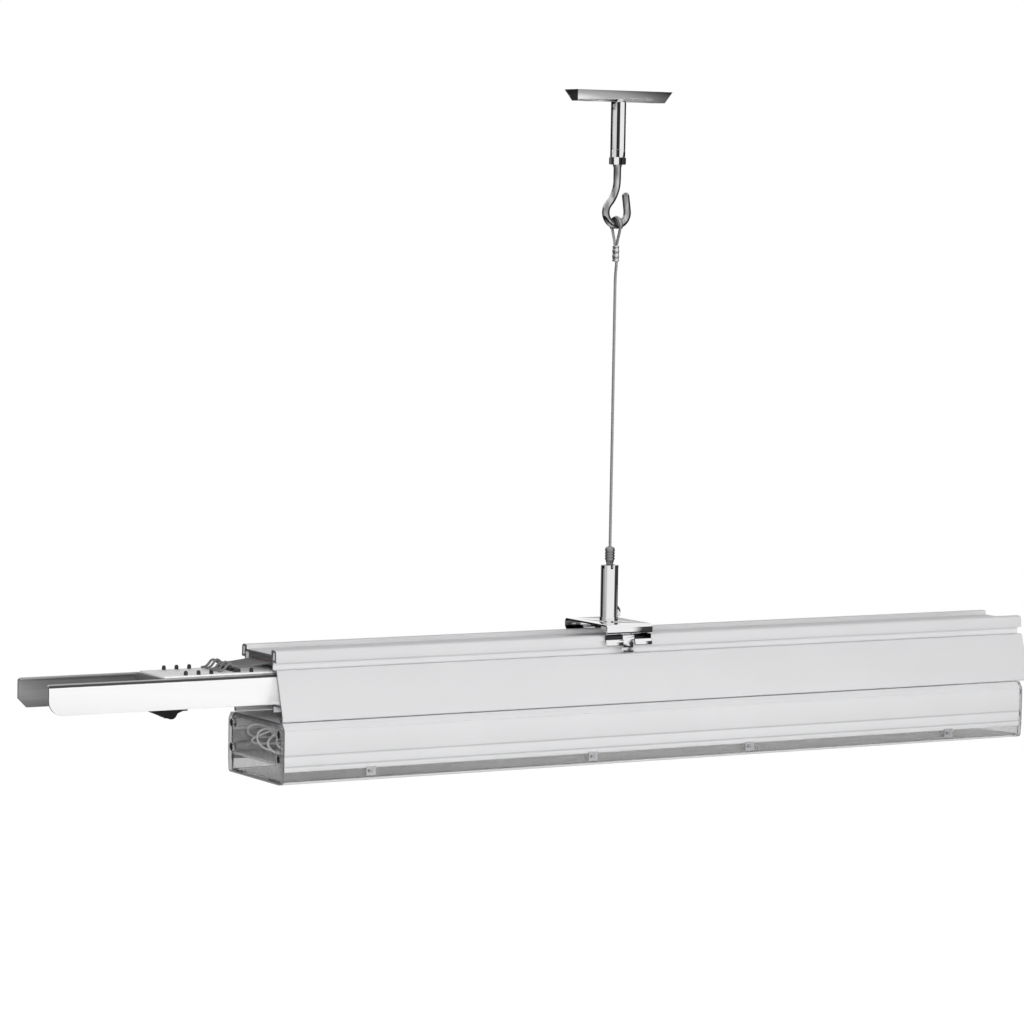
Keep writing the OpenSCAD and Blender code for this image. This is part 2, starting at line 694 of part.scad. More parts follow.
edge_r = 0.6;
head_in_r = 1;
rail_half = concat(
    [[head_half - head_w, -channel_d]],
    arc([head_half - head_w + head_in_r, -head_in_r], head_in_r, 180, 90, 3),
    arc([head_half - head_r, -head_r], head_r, 90, 0, 5),
    [[head_half + head_flare, -head_h], [groove_half, -head_h], [groove_half, -shoulder_z],
     [shoulder_half - edge_r, -shoulder_z], [shoulder_half, -shoulder_z - edge_r],
     [skirt_half, -crease_z], [skirt_half, -rail_h + edge_r], [skirt_half - edge_r, -rail_h],
     [skirt_half - lip_w, -rail_h], [skirt_half - lip_w, -rail_h + rail_t],
     [skirt_half - side_t, -rail_h + rail_t], [skirt_half - side_t, -crease_z],
     [side_in(ledge_z + rail_t), -ledge_z - rail_t], [ledge_half + rail_t, -ledge_z - rail_t],
     [ledge_half + rail_t, -ledge_z - rail_t - ledge_hook_h],
     [ledge_half, -ledge_z - rail_t - ledge_hook_h], [ledge_half, -ledge_z],
     [side_in(ledge_z), -ledge_z], [side_in(shoulder_z + rail_t), -shoulder_z - rail_t],
     [groove_half - rail_t, -shoulder_z - rail_t], [groove_half - rail_t, -insul_z]]);
catch_bar_x = catch_x + catch_l * 0.62;
tab_y = coupler_half + tab_l * 0.55;
tab_shares = [0.25, 0.75];
joint_bore = joint_screw_d + 2 * fine_play;

module head_hollows() {
    for (s = [-1, 1]) translate([s * (groove_half + head_half - rail_t) / 2, -head_h / 2])
        square([head_half - rail_t - groove_half, head_h - 2 * rail_t], center = true);
}

module rail() color("white") on_trunk() difference() {
    run(0, rail_l) difference() {
        polygon(mirrored(rail_half));
        head_hollows();
    }
    for (s = [-1, 1]) {
        for (share = tab_shares) translate([share * coupler_in, s * tab_y, -ledge_z - rail_t - over])
            cylinder(d = joint_bore, h = rail_t + 2 * over, $fn = thin_fn);
        translate([rail_l - catch_bar_x, s * ledge_half, -ledge_z - rail_t])
            cube([catch_notch_l, 2 * (coupler_half - coupler_t - ledge_half), 4 * rail_t], center = true);
    }
}

end_inset = 1.5;

module conductor_profile() color("dimgray") on_trunk() run(end_inset, rail_l - end_inset) difference() {
    translate([-insul_w / 2, -insul_z - insul_h]) square([insul_w, insul_h]);
    for (y = pole_y) translate([y - slot_w / 2, -insul_z - insul_h - over]) square([slot_w, slot_h + over]);
}

module conductor_strips() color("peru") on_trunk() run(end_inset, rail_l - end_inset) for (y = pole_y) {
    translate([y - slot_w / 2 + fine_play, -insul_z - insul_h + slot_h - strip_t])
        square([slot_w - 2 * fine_play, strip_t]);
}

// Joiner: folded from one sheet, with its web cut back at the outer end

fold_r = 2.4;
corner_r = 2;
ear_r = 4.5;
screw_tip = 2;

module corner_cut(r) {
    difference() {
        translate([-over, -over]) square([r + over, r + over]);
        translate([r, r]) circle(r = r, $fn = round_fn);
    }
}

module coupler_section() {
    inner = coupler_half - coupler_t;
    flat = coupler_half - fold_r;
    difference() {
        union() {
            translate([-coupler_half, -flange_foot]) square([2 * coupler_half, flange_foot - web_z - fold_r]);
            translate([-flat, -web_z - 2 * fold_r]) square([2 * flat, 2 * fold_r]);
            for (s = [-1, 1]) translate([s * flat, -web_z - fold_r]) circle(r = fold_r, $fn = small_fn);
        }
        translate([-inner, -flange_foot - over]) square([2 * inner, flange_foot + over - web_z - coupler_t]);
    }
}

module catch_ears() {
    ear_y = catch_w / 2 + play + coupler_t / 2;
    for (s = [-1, 1]) translate([-catch_x, s * ear_y, 0]) across(coupler_t / 2) {
        translate([0, -catch_z]) circle(r = ear_r, $fn = small_fn);
        translate([-ear_r, -catch_z]) square([2 * ear_r, catch_z - web_z - coupler_t / 2]);
    }
}

module coupler() color("whitesmoke") on_trunk() difference() {
    inner = coupler_half - coupler_t;
    chamfer = flange_chamfer;
    union() {
        run(-coupler_out, coupler_in) coupler_section();
        block(-web_out, -web_out + coupler_t, inner, -web_z - web_lip, -web_z - coupler_t / 2);
        catch_ears();
        for (share = tab_shares) both_sides() translate([share * coupler_in - tab_w / 2, inner, -flange_foot])
            cube([tab_w, tab_l + coupler_t, coupler_t]);
    }
    block(-coupler_out - over, -web_out, inner - rim_w, -web_z - coupler_t - over, -web_z + over);
    translate([-coupler_out, -coupler_half, -flange_foot]) across(2 * coupler_t) corner_cut(flange_r);
    translate([-coupler_out, coupler_half, -flange_foot]) across(2 * coupler_t)
        polygon([[-over, -over], [chamfer, -over], [chamfer, 0], [0, chamfer], [-over, chamfer]]);
    translate([-coupler_out, 0, -web_z]) mirror([0, 0, 1]) across(coupler_half + over) corner_cut(corner_r);
    for (s = [-1, 1]) for (share = tab_shares) translate([share * coupler_in, s * tab_y, -flange_foot - over])
        cylinder(d = joint_bore, h = coupler_t + 2 * over, $fn = thin_fn);
    translate([-catch_x, 0, -catch_z]) across(inner - fine_play)
        circle(d = catch_pin_d + 2 * fine_play, $fn = small_fn);
}

module coupler_screws() color("silver") on_trunk() for (s = [-1, 1]) for (share = tab_shares) {
    translate([share * coupler_in, s * tab_y, -ledge_z - rail_t]) {
        cylinder(d = joint_screw_d, h = rail_t + coupler_t + screw_tip, $fn = thin_fn);
        below(screw_head_h) cylinder(d = screw_head_d, h = screw_head_h, $fn = thin_fn);
    }
}

// Contact block on the joiner's web

carrier_in = 40;
carrier_z = web_z - carrier_t;
first_pin = 16;
last_pin_x = 13.5;
terminal_x = 24;
terminal_l = 4;
terminal_w = 3.4;
terminal_h = 2.2;

module contact_carrier() color("gray") on_trunk()
    block(-carrier_out, carrier_in, carrier_w / 2, -web_z, -carrier_z);

// Two rows of posts, and a terminal under each short wire
module contact_pins() color("black") on_trunk() {
    pin_x = concat([for (i = [0:pin_count - 1]) -carrier_out + first_pin + i * pin_pitch], [-last_pin_x]);
    for (s = [-1, 1]) for (x = pin_x) translate([x, s * pin_half, -carrier_z]) {
        cylinder(d = pin_d, h = pin_h * 0.75, $fn = thin_fn);
        cylinder(d = pin_d * 0.7, h = pin_h, $fn = thin_fn);
    }
    for (y = pole_y) translate([-terminal_x, y - terminal_w / 2, -carrier_z])
        cube([terminal_l, terminal_w, terminal_h]);
}

// Route of one short wire: how far along the trunk, and its rise as a share of the way up from the
// plate to the slot. Each wire's arch, up to the terminals, is lifted by a share of its own
link_route = [[-35.5, 0.22], [-33, 0.22], [-30.5, 0.5], [-28.6, 0.96], [-26.6, 1.08], [-24.8, 0.84],
    [-22.6, 0.7], [-19, 0.66], [-14, 0.7], [-8, 0.84], [-2, 0.97], [2, 1], [9, 1]];
link_lift_shares = [1.04, 1.16, 1, 1.2, 1.08];

module link_wires() color("dimgray") on_trunk() for (i = [0:pole_count - 1]) {
    rise = carrier_z - insul_z - insul_h + slot_h - strip_t - play - link_d / 2;
    path = smooth([for (p = link_route) let (lift = p.x < -terminal_x ? link_lift_shares[i] : 1)
        [p.x, pole_y[i], -carrier_z + rise * p.y * lift]], 2);
    tube(path, link_d, 8, [0, 1, 0]);
}

// Catch under the joiner

module latch_pin() color("silver") on_trunk() translate([-catch_x, 0, -catch_z])
    across(catch_w / 2 + play + coupler_t) circle(d = catch_pin_d, $fn = small_fn);

// Torsion spring round the pin: one leg stands under the web, the other ends in the catch's slot
catch_slot_w = 7;
return_wire_d = 0.8;
return_turns = 4;
return_r = catch_pin_d / 2 + play + return_wire_d / 2;

module latch_spring() {
    half = catch_slot_w / 2 - play - return_wire_d / 2;
    reach = catch_z - web_z - coupler_t - return_wire_d / 2 - play;
    steps = return_turns * 12;
    coil = [for (i = [0:steps]) let (a = 360 * return_turns * i / steps)
        [return_r * cos(a), half * (1 - 2 * i / steps), -return_r * sin(a)]];
    leg = [for (share = [1, 0.7, 0.4, 0.15]) [return_r, half, reach * share]];
    foot = [for (share = [0.6, 1.3]) [return_r, -half, -return_r * share]];
    color("gray") on_trunk() translate([-catch_x, 0, -catch_z])
        tube(concat(leg, coil, foot), return_wire_d, 6, [0.05, 1, 0.1]);
}

// Side view of the catch from its pivot, in shares of its length and of its wedge's depth
catch_shares = [[0, 0.3], [-0.35, 0.06], [-0.75, -0.26], [-1, -0.52], [-1, -0.64], [-0.74, -0.93],
    [-0.69, -1], [-0.63, -1], [-0.58, -0.91], [-0.54, -0.72], [-0.3, -0.48], [0, -0.3]];

module coupler_latch() {
    drop = wedge_z - catch_z;
    eye = drop * 0.3;
    ear = coupler_half - coupler_t - play;
    ear_x = catch_x - catch_bar_x;
    ear_half = catch_notch_l * 0.3;
    sill = catch_z - flange_foot;
    slot = return_r + return_wire_d / 2 + play;
    color("black") on_trunk() translate([-catch_x, 0, -catch_z]) difference() {
        union() {
            across(catch_w / 2) {
                polygon([for (p = catch_shares) [p.x * catch_l, p.y * drop]]);
                circle(r = eye, $fn = small_fn);
            }
            block(ear_x - ear_half, ear_x + ear_half, ear, sill - rail_t * 0.8, sill + rail_t);
            translate([-catch_l * 0.66, 0, -drop]) cylinder(d = knob_d, h = drop * 0.3, $fn = small_fn);
        }
        across(catch_w) circle(d = catch_pin_d + 2 * fine_play, $fn = small_fn);
        across(catch_slot_w / 2) circle(r = slot, $fn = small_fn);
        across(catch_slot_w / 2) translate([0, -2 * eye]) square([2 * eye, 4 * eye]);
    }
}

// LED module

module_line_shares = [0.655, 0.88];
port_wall = 1.4;
port_od = end_screw_d + 2 * port_wall;
// How far the housing, the lens and its lower edge each draw in from the piece above
step_in = 0.2;
lens_draft = 0.7;
module_outline = concat(
    [[module_half - bevel_in, -module_z]],
    fine_groove(module_half, module_z + bevel_h),
    [for (share = module_line_shares) each fine_groove(module_half, module_z + body_h * share)],
    [[module_half, -body_z + 2 * step_in], [module_half - step_in, -body_z]]);
body_in = module_half - body_t;
rib_in = body_in - rib_w;
slot_low = board_z + board_t + fine_play;
module_half_section = concat(module_outline,
    [[body_in, -body_z], [body_in, -slot_low - rib_t], [rib_in, -slot_low - rib_t], [rib_in, -slot_low],
     [body_in, -slot_low], [body_in, -board_z + fine_play], [rib_in, -board_z + fine_play],
     [rib_in, -board_z + rib_t], [body_in, -board_z + rib_t], [body_in, -module_z - bevel_h - body_t / 2],
     [module_half - bevel_in - body_t / 2, -module_z - body_t]]);
// Each port runs into what it stands on by a share of its wall
port_sunk = port_wall * 0.3;
end_ports = [module_z + bevel_h + port_od / 2, board_z - rib_t - port_od / 2 + port_sunk];
end_port_y = body_in - port_od / 2 + port_sunk;
lens_r = 2.4;
lens_top_half = module_half - step_in;
lens_low_half = module_half - lens_draft;
lens_in = lens_low_half - lens_t - lens_draft;
ridge_up = 1.2;
lens_outer = concat([[lens_top_half, -body_z]],
    arc([lens_low_half - lens_r, -lens_z + lens_r], lens_r, 0, -90, 5));

module at_ports() {
    for (s = [-1, 1]) for (depth = end_ports) translate([s * end_port_y, -depth]) children();
}

module module_housing() color("white") on_module() difference() {
    union() {
        run(end_t, module_l - end_t) polygon(mirrored(module_half_section));
        run(end_t, module_l - end_t) at_ports() circle(d = port_od, $fn = thin_fn);
    }
    run(end_t - over, module_l - end_t + over) at_ports() circle(d = screw_bore, $fn = thin_fn);
    for (x = driver_screw_x) translate([x, 0, -module_z - body_t - over])
        cylinder(d = screw_bore, h = body_t + 2 * over, $fn = thin_fn);
}

module led_board() color("ivory") on_module()
    block(end_t + play, module_l - end_t - play, body_in - play, -board_z - board_t, -board_z);

led_row_y = 14;

module leds() color("khaki") on_module() {
    pitch = (module_l - 2 * end_t) / led_count;
    for (s = [-1, 1]) for (i = [0:led_count - 1])
        translate([end_t + (i + 0.5) * pitch, s * led_row_y, -board_z - board_t - led_h / 2])
            cube([led_w, led_w, led_h], center = true);
}

// Clear strip: an outer skin with upright legs that snap in beside the board, and a ridged floor
module lens() color([0.8, 0.86, 0.86, 0.5]) on_module() run(end_t, module_l - end_t) {
    floor_z = -lens_z + lens_t;
    leg_out = body_in - fine_play;
    leg_in = leg_out - lens_t;
    leg_top = -slot_low - rib_t - fine_play;
    half = concat(
        [for (i = [0:ridge_count]) [lens_in * i / ridge_count, floor_z + (i % 2) * ridge_up]],
        [[lens_in, -body_z - lens_t], [leg_in, -body_z - lens_t], [leg_in, leg_top], [leg_out, leg_top],
         [leg_out, -body_z]],
        lens_outer);
    polygon(mirrored(half));
}

clip_t = 0.7;
clip_h = 6;
clip_stud_h = 1.2;

module lens_clips() color("silver") on_module() for (share = clip_shares) for (e = [-1, 1]) both_sides() {
    translate([module_l * (0.5 + e * share), module_half, -body_z - clip_h / 3]) difference() {
        union() {
            translate([-clip_l / 2, 0, -clip_h / 2]) cube([clip_l, clip_t, clip_h]);
            translate([clip_l * 0.22, 0, 0]) rotate([-90, 0, 0])
                cylinder(d = clip_l * 0.35, h = clip_stud_h, $fn = thin_fn);
        }
        translate([-clip_l * 0.22, -over, 0]) rotate([-90, 0, 0])
            cylinder(d = clip_l * 0.3, h = 3 * over, $fn = thin_fn);
    }
}

module facing_out() {
    rotate([0, 90, 0]) rotate([0, 0, 90]) children();
}

// End plate with its outer face at outer_x, shallowly recessed between its screws
module end_plate(low_x, outer_x) {
    sink = end_t * 0.3;
    frame = port_od * 0.2;
    difference() {
        run(low_x, low_x + end_t) polygon(mirrored(concat(module_outline, lens_outer)));
        translate([outer_x, 0, 0]) facing_out() at_ports() {
            cylinder(d = screw_bore, h = 3 * end_t, center = true, $fn = thin_fn);
            cylinder(d = screw_head_d + 2 * fine_play, h = 2 * screw_head_h, center = true, $fn = thin_fn);
        }
        block(outer_x - sink, outer_x + sink, end_port_y - port_od / 2 - frame, -body_z + frame,
            -module_z - body_t - frame);
    }
}

module end_plate_left() color([0.8, 0.86, 0.86, 0.5]) on_module() end_plate(0, 0);

module end_plate_right() color([0.8, 0.86, 0.86, 0.5]) on_module() end_plate(module_l - end_t, module_l);

end_screw_l = 9;

module end_screws() color("silver") on_module() for (e = [0, 1]) {
    translate([e * module_l, 0, 0]) mirror([e, 0, 0]) facing_out() at_ports() {
        cylinder(d = screw_head_d, h = screw_head_h, $fn = thin_fn);
        cylinder(d = end_screw_d, h = end_screw_l, $fn = thin_fn);
    }
}

// Driver and wiring inside the module

ear_l = 9;
ear_t = 1.2;
driver_r = 2;
lead_in = 3;
driver_top = module_z + body_t;
driver_end = driver_start + driver_l;
driver_screw_x = [driver_start - ear_l / 2, driver_end + ear_l / 2];

module driver() color("gainsboro") on_module() difference() {
    union() {
        run(driver_start, driver_end) polygon(mirrored(concat([[driver_w / 2, -driver_top]],
            arc([driver_w / 2 - driver_r, -driver_top - driver_h + driver_r], driver_r, 0, -90, 4))));
        block(driver_start - ear_l, driver_end + ear_l, driver_w / 4, -driver_top - ear_t, -driver_top);
    }
    for (x = driver_screw_x) translate([x, 0, -driver_top - ear_t - over])
        cylinder(d = screw_bore, h = ear_t + 2 * over, $fn = thin_fn);
    for (y = pole_y) translate([driver_start - over, y, -driver_top - driver_h * 0.6]) rotate([0, 90, 0])
        cylinder(d = lead_d + play, h = over + lead_in, $fn = thin_fn);
}

module driver_screws() color("silver") on_module() for (x = driver_screw_x) {
    translate([x, 0, -driver_top - ear_t]) {
        cylinder(d = end_screw_d, h = ear_t + body_t, $fn = thin_fn);
        below(screw_head_h) cylinder(d = screw_head_d, h = screw_head_h, $fn = thin_fn);
    }
}

block_x = 20;
block_l = 14;
block_half = 15;
block_h = 12;
block_pitch = 6.4;
block_screw_d = 3.4;
block_hole_z = driver_top + block_h * 0.62;

module terminal_block() color("gray") on_module() difference() {
    block(block_x, block_x + block_l, block_half, -driver_top - block_h, -driver_top);
    for (i = [-2:2]) {
        translate([block_x - over, i * block_pitch, -block_hole_z]) rotate([0, 90, 0])
            cylinder(d = lead_d + play, h = over + lead_in + play, $fn = thin_fn);
        translate([block_x + block_l / 2, i * block_pitch, -driver_top - block_h - over])
            cylinder(d = block_screw_d, h = over + block_h / 6, $fn = thin_fn);
    }
}

// Routes of the white leads, from the block's holes round towards the driver
lead_routes = [
    [[23, -12.8, -54.7], [19.5, -12.8, -54.7], [16, -12.8, -54.9], [11, -13.5, -56.5],
     [7.5, -16.5, -60], [8.5, -21, -63.5], [14, -24, -65.5], [24, -25.5, -66], [40, -25, -65.5],
     [60, -22, -64], [76, -16, -61], [86, -12, -60], [92, -12, -59.9]],
    [[23, -6.4, -54.7], [19.5, -6.4, -54.7], [16, -6.4, -55], [10.5, -5, -57.5],
     [6.5, -6, -62.5], [8.5, -10.5, -67], [15, -15, -68.6], [26, -18.5, -68.6], [42, -19.5, -67],
     [60, -14, -64], [76, -8, -61.5], [86, -6, -60], [92, -6, -59.9]],
    [[23, 0, -54.7], [19.5, 0, -54.7], [16, 0.2, -54.4], [11.5, 2.5, -53.5],
     [7, 6.5, -55.5], [6, 8, -61], [9.5, 5.5, -66.5], [17, 2, -69], [30, 0, -69],
     [50, 0, -67], [70, 0, -62], [86, 0, -60], [92, 0, -59.9]],
    [[23, 6.4, -54.7], [19.5, 6.4, -54.7], [16.5, 7.4, -55.6], [13, 11, -58],
     [9, 17, -61], [9.5, 22.5, -64.5], [16, 25, -66.5], [28, 24.5, -67], [44, 22, -66.5],
     [62, 16, -64], [78, 8, -61.5], [87, 6, -60], [92, 6, -59.9]],
    [[23, 12.8, -54.7], [19.5, 12.8, -54.7], [16.5, 13.2, -54.2], [12.5, 16, -52.6],
     [8.5, 21, -53.5], [8, 25.5, -57.5], [12, 28, -61.5], [22, 28.2, -63], [40, 27.5, -63],
     [60, 23, -62.5], [78, 15, -60.5], [87, 12, -60], [92, 12, -59.9]]];
lead_seat = lead_in * 0.66;

// A route with its part behind the block stretched along the trunk, into the driver's hole
function to_driver(route) = let (near = block_x + block_l, last = route[len(route) - 1].x,
        grown = (driver_start + lead_seat - near) / (last - near))
    [for (p = route) [p.x > near ? near + (p.x - near) * grown : p.x, p.y, p.z]];

module driver_leads() color("white") on_module() for (route = lead_routes) {
    tube(smooth(to_driver(route), 2), lead_d, 8, [0.1, 0.2, 1]);
}

// Plug that reaches the conductors, and the clips that hold the module in the rail

plug_foot = 4;
plug_edge = 2;
plug_top = insul_z + insul_h + 2 * fine_play + play;
blade_tip = insul_z + insul_h - slot_h + strip_t + play;
blade_l = 8;
blade_root = 3;

module module_plug() color("dimgray") on_module() translate([plug_x, 0, 0]) difference() {
    half = plug_l / 2;
    across(plug_w / 2) polygon(mirrored([[half - plug_edge, -plug_top], [half, -plug_top - plug_edge],
        [half, -module_z + plug_foot + plug_edge], [half + plug_foot, -module_z + plug_edge],
        [half + plug_foot, -module_z]]));
    for (y = pole_y) translate([0, y, -plug_top])
        cube([blade_l + 2 * play, blade_t + 2 * fine_play, 2 * (blade_root + play)], center = true);
}

module plug_contacts() color("peru") on_module() translate([plug_x, 0, 0]) for (y = pole_y) {
    translate([0, y, 0]) across(blade_t / 2) polygon(mirrored([[blade_l * 0.2, -blade_tip],
        [blade_l / 2, -plug_top], [blade_l / 2, -plug_top - blade_root]]));
}

// Spring clips bent from strip, drawn along the middle of the sheet
module module_clips() {
    arm = ledge_half - play - spring_t / 2;
    foot = -module_z + spring_t / 2;
    tip = -ledge_z - rail_t / 2;
    kink = (tip - foot) * 0.25;
    half = [[arm - 2 * spring_t, tip], [arm, tip - kink], [arm, foot + spring_t], [arm - spring_t, foot]];
    color("silver") on_module() for (x = [spring_x, module_l - spring_x])
        run(x - spring_l / 2, x + spring_l / 2) strip(mirrored(half), spring_t);
}

ceiling_plate();
hex_spacer();
hook_nuts();
hook();
eye_thimble();
suspension_wire();
wire_ferrule();
gripper_barrel();
gripper_base();
stud_nut();
grip_cone();
gripper_spring();
gripper_plunger();
gripper_balls();
clamp_bracket();
rail();
conductor_profile();
conductor_strips();
coupler();
coupler_screws();
contact_carrier();
contact_pins();
link_wires();
latch_pin();
latch_spring();
coupler_latch();
module_housing();
led_board();
leds();
lens();
lens_clips();
end_plate_left();
end_plate_right();
end_screws();
driver();
driver_screws();
terminal_block();
driver_leads();
module_plug();
plug_contacts();
module_clips();
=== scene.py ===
# %% [markdown]
# # A hanging trunking light, dressed part by part
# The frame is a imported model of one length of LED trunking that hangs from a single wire: ceiling plate,
# hook, wire rope, gripper, clip-on bracket, extruded rail with its joiner, and the LED module. Every piece
# of it is already at its real size and place. This lesson gives the pieces their finish, and makes the
# things that a solid model leaves out: the laid strands of the rope, the cross recesses of the screws, the
# LED packages and the soft edges that catch the light. All lengths are metres, in the frame's own axes.

# %% Load the frame
import json
import math

import bmesh
import bpy
from mathutils import Matrix, Vector

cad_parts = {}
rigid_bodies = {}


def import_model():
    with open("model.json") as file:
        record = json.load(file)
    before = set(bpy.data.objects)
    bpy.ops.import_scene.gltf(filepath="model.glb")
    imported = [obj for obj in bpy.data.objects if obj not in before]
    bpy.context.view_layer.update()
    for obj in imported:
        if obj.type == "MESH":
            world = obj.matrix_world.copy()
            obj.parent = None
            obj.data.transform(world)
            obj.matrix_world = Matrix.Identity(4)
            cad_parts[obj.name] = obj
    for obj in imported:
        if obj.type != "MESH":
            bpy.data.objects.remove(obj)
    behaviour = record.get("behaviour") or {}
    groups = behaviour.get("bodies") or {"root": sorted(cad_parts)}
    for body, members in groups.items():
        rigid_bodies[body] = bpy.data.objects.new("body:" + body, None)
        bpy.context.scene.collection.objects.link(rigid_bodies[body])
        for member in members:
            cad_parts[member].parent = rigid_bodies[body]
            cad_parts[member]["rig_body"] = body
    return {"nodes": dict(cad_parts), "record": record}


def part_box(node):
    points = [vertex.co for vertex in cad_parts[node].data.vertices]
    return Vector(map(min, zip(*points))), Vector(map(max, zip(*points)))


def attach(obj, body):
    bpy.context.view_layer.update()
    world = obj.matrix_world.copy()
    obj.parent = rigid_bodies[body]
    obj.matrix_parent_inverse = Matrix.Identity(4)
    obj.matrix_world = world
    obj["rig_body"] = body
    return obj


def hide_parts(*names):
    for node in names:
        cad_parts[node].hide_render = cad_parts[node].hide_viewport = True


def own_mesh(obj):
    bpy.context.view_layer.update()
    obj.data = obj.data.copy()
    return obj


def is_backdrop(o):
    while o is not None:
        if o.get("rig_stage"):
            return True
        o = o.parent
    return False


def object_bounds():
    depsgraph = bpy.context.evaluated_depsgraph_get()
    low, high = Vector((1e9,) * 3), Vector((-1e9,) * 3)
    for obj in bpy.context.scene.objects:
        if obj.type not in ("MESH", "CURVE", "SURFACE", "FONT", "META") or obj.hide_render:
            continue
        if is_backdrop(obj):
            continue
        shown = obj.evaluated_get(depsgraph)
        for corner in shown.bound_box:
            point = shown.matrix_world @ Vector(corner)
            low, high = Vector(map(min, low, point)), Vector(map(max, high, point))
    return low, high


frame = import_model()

MM = 0.001
SHARP = math.radians(30)    # an edge that turns by more than this is a real corner
nodes = frame["nodes"]
cad_box = [list(corner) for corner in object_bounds()]
slot_of = {part["node"]: part["material_slot"] for part in frame["record"]["subparts"]}
body_of = {name: node["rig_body"] for name, node in nodes.items()}

# %% [markdown]
# ## The camera
# A product picture of something long is taken from far away with a long lens, so that the near end
# doesn't swell. The camera stands 2.7 m off, a little above the trunk, and is turned by a heading, a dip
# and a slight roll. A camera looks along its own -Z with +Y up, so its three axes are worked out as
# columns of a matrix. That is safer than Euler angles, whose order is easy to get wrong.

# %% Camera
picture_px = 1024
focal_px = 3981
camera_place = Vector((-1.4329, -2.2777, -0.0782))
heading, dip, roll = (math.radians(a) for a in (30.75, 4.40, 1.00))

forward = Vector((math.sin(heading) * math.cos(dip), math.cos(heading) * math.cos(dip), -math.sin(dip)))
level = Vector((math.cos(heading), -math.sin(heading), 0))
upright = level.cross(forward)
right = math.cos(roll) * level + math.sin(roll) * upright
up = math.cos(roll) * upright - math.sin(roll) * level

camera_data = bpy.data.cameras.new("camera")
camera_data.lens = focal_px / picture_px * camera_data.sensor_width
camera = bpy.data.objects.new("camera", camera_data)
facing = Matrix((right, up, -forward)).transposed().to_4x4()
camera.matrix_world = Matrix.Translation(camera_place) @ facing
bpy.context.scene.collection.objects.link(camera)
bpy.context.scene.camera = camera
print(f"lens {camera_data.lens:.1f} mm, {camera_place.length:.2f} m from the ceiling plate")

# %% [markdown]
# ## One way to write node maths
# Geometry trees and material trees use the same Math node. The small class below wraps an output socket,
# so that an expression such as `1 - mask * 0.5` adds its nodes by itself. Every other node comes from
# one method: its type, its settings, which are set first because they change the sockets, and the values
# or links of its inputs.

# %% Node maths


class Value:
    """An output socket that can stand in a sum."""

    def __init__(self, tree, socket):
        self.tree, self.socket = tree, socket

    def _math(self, operation, a, b):
        return self.tree.node("ShaderNodeMath", {"operation": operation}, {0: a, 1: b})

    def __add__(self, other):
        return self._math("ADD", self, other)

    def __sub__(self, other):
        return self._math("SUBTRACT", self, other)

    def __rsub__(self, other):
        return self._math("SUBTRACT", other, self)

    def __mul__(self, other):
        return self._math("MULTIPLY", self, other)

    def __truediv__(self, other):
        return self._math("DIVIDE", self, other)

    def __gt__(self, other):
        return self._math("GREATER_THAN", self, other)

    def __lt__(self, other):
        return self._math("LESS_THAN", self, other)

    def __abs__(self):
        return self._math("ABSOLUTE", self, 0)

    __radd__ = __add__


class Tree:
    """Adds nodes to one node tree, and links them as they are made."""

    def __init__(self, tree):
        self.tree = tree

    def node(self, kind, settings=None, inputs=None, output=0):
        made = self.tree.nodes.new(kind)
        for name, value in (settings or {}).items():
            if name == "stops":
                ramp = made.color_ramp
                while len(ramp.elements) < len(value):
                    ramp.elements.new(0.5)
                for element, (place, colour) in zip(ramp.elements, value):
                    element.position, element.color = place, colour
            else:
                setattr(made, name, value)
        for key, value in (inputs or {}).items():
            self.feed(made.inputs[key], value)
        return Value(self, made.outputs[output])

    def feed(self, socket, value):
        if isinstance(value, Value):
            self.tree.links.new(value.socket, socket)
        else:
            socket.default_value = value


print("node maths ready")

# %% [markdown]
# ## A geometry tree as a tool
# A Geometry Nodes tree needs named inputs to be of use more than once. The helper makes the tree's sockets,
# hands its group input to a function that adds the nodes, and ends every tree the same way: Realize
# Instances, because an export drops instances, then Set Material. `grown` runs a tree on an object: it
# sets the modifier's inputs by their identifiers. `applied` then reads the evaluated result as a plain
# mesh, for this and for every other modifier here, so that no piece has a modifier left on it.

# %% Geometry trees
SOCKETS = {"geometry": "NodeSocketGeometry", "number": "NodeSocketFloat", "count": "NodeSocketInt",
           "piece": "NodeSocketObject", "turn": "NodeSocketVector", "finish": "NodeSocketMaterial"}


def geometry_tool(name, inputs, build):
    """A tree with the named inputs; build(tree, given) returns the geometry that it makes."""
    group = bpy.data.node_groups.new(name, "GeometryNodeTree")
    group.interface.new_socket("Geometry", in_out="OUTPUT", socket_type=SOCKETS["geometry"])
    for label, kind in [("Geometry", "geometry"), *inputs.items(), ("Material", "finish")]:
        group.interface.new_socket(label, in_out="INPUT", socket_type=SOCKETS[kind])
    tree = Tree(group)
    start = group.nodes.new("NodeGroupInput")
    given = {label: Value(tree, start.outputs[label]) for label in ["Geometry", *inputs, "Material"]}
    made = build(tree, given)
    real = tree.node("GeometryNodeRealizeInstances", inputs={"Geometry": made})
    painted = tree.node("GeometryNodeSetMaterial", inputs={"Geometry": real, "Material": given["Material"]})
    end = group.nodes.new("NodeGroupOutput")
    tree.feed(end.inputs["Geometry"], painted)
    return group


def new_object(name, data):
    made = bpy.data.objects.new(name, data)
    bpy.context.scene.collection.objects.link(made)
    return made


def applied(piece):
    """The plain mesh that an object's modifiers make. The object is removed with them."""
    graph = bpy.context.evaluated_depsgraph_get()
    mesh = bpy.data.meshes.new_from_object(piece.evaluated_get(graph))
    bpy.data.objects.remove(piece)
    return mesh


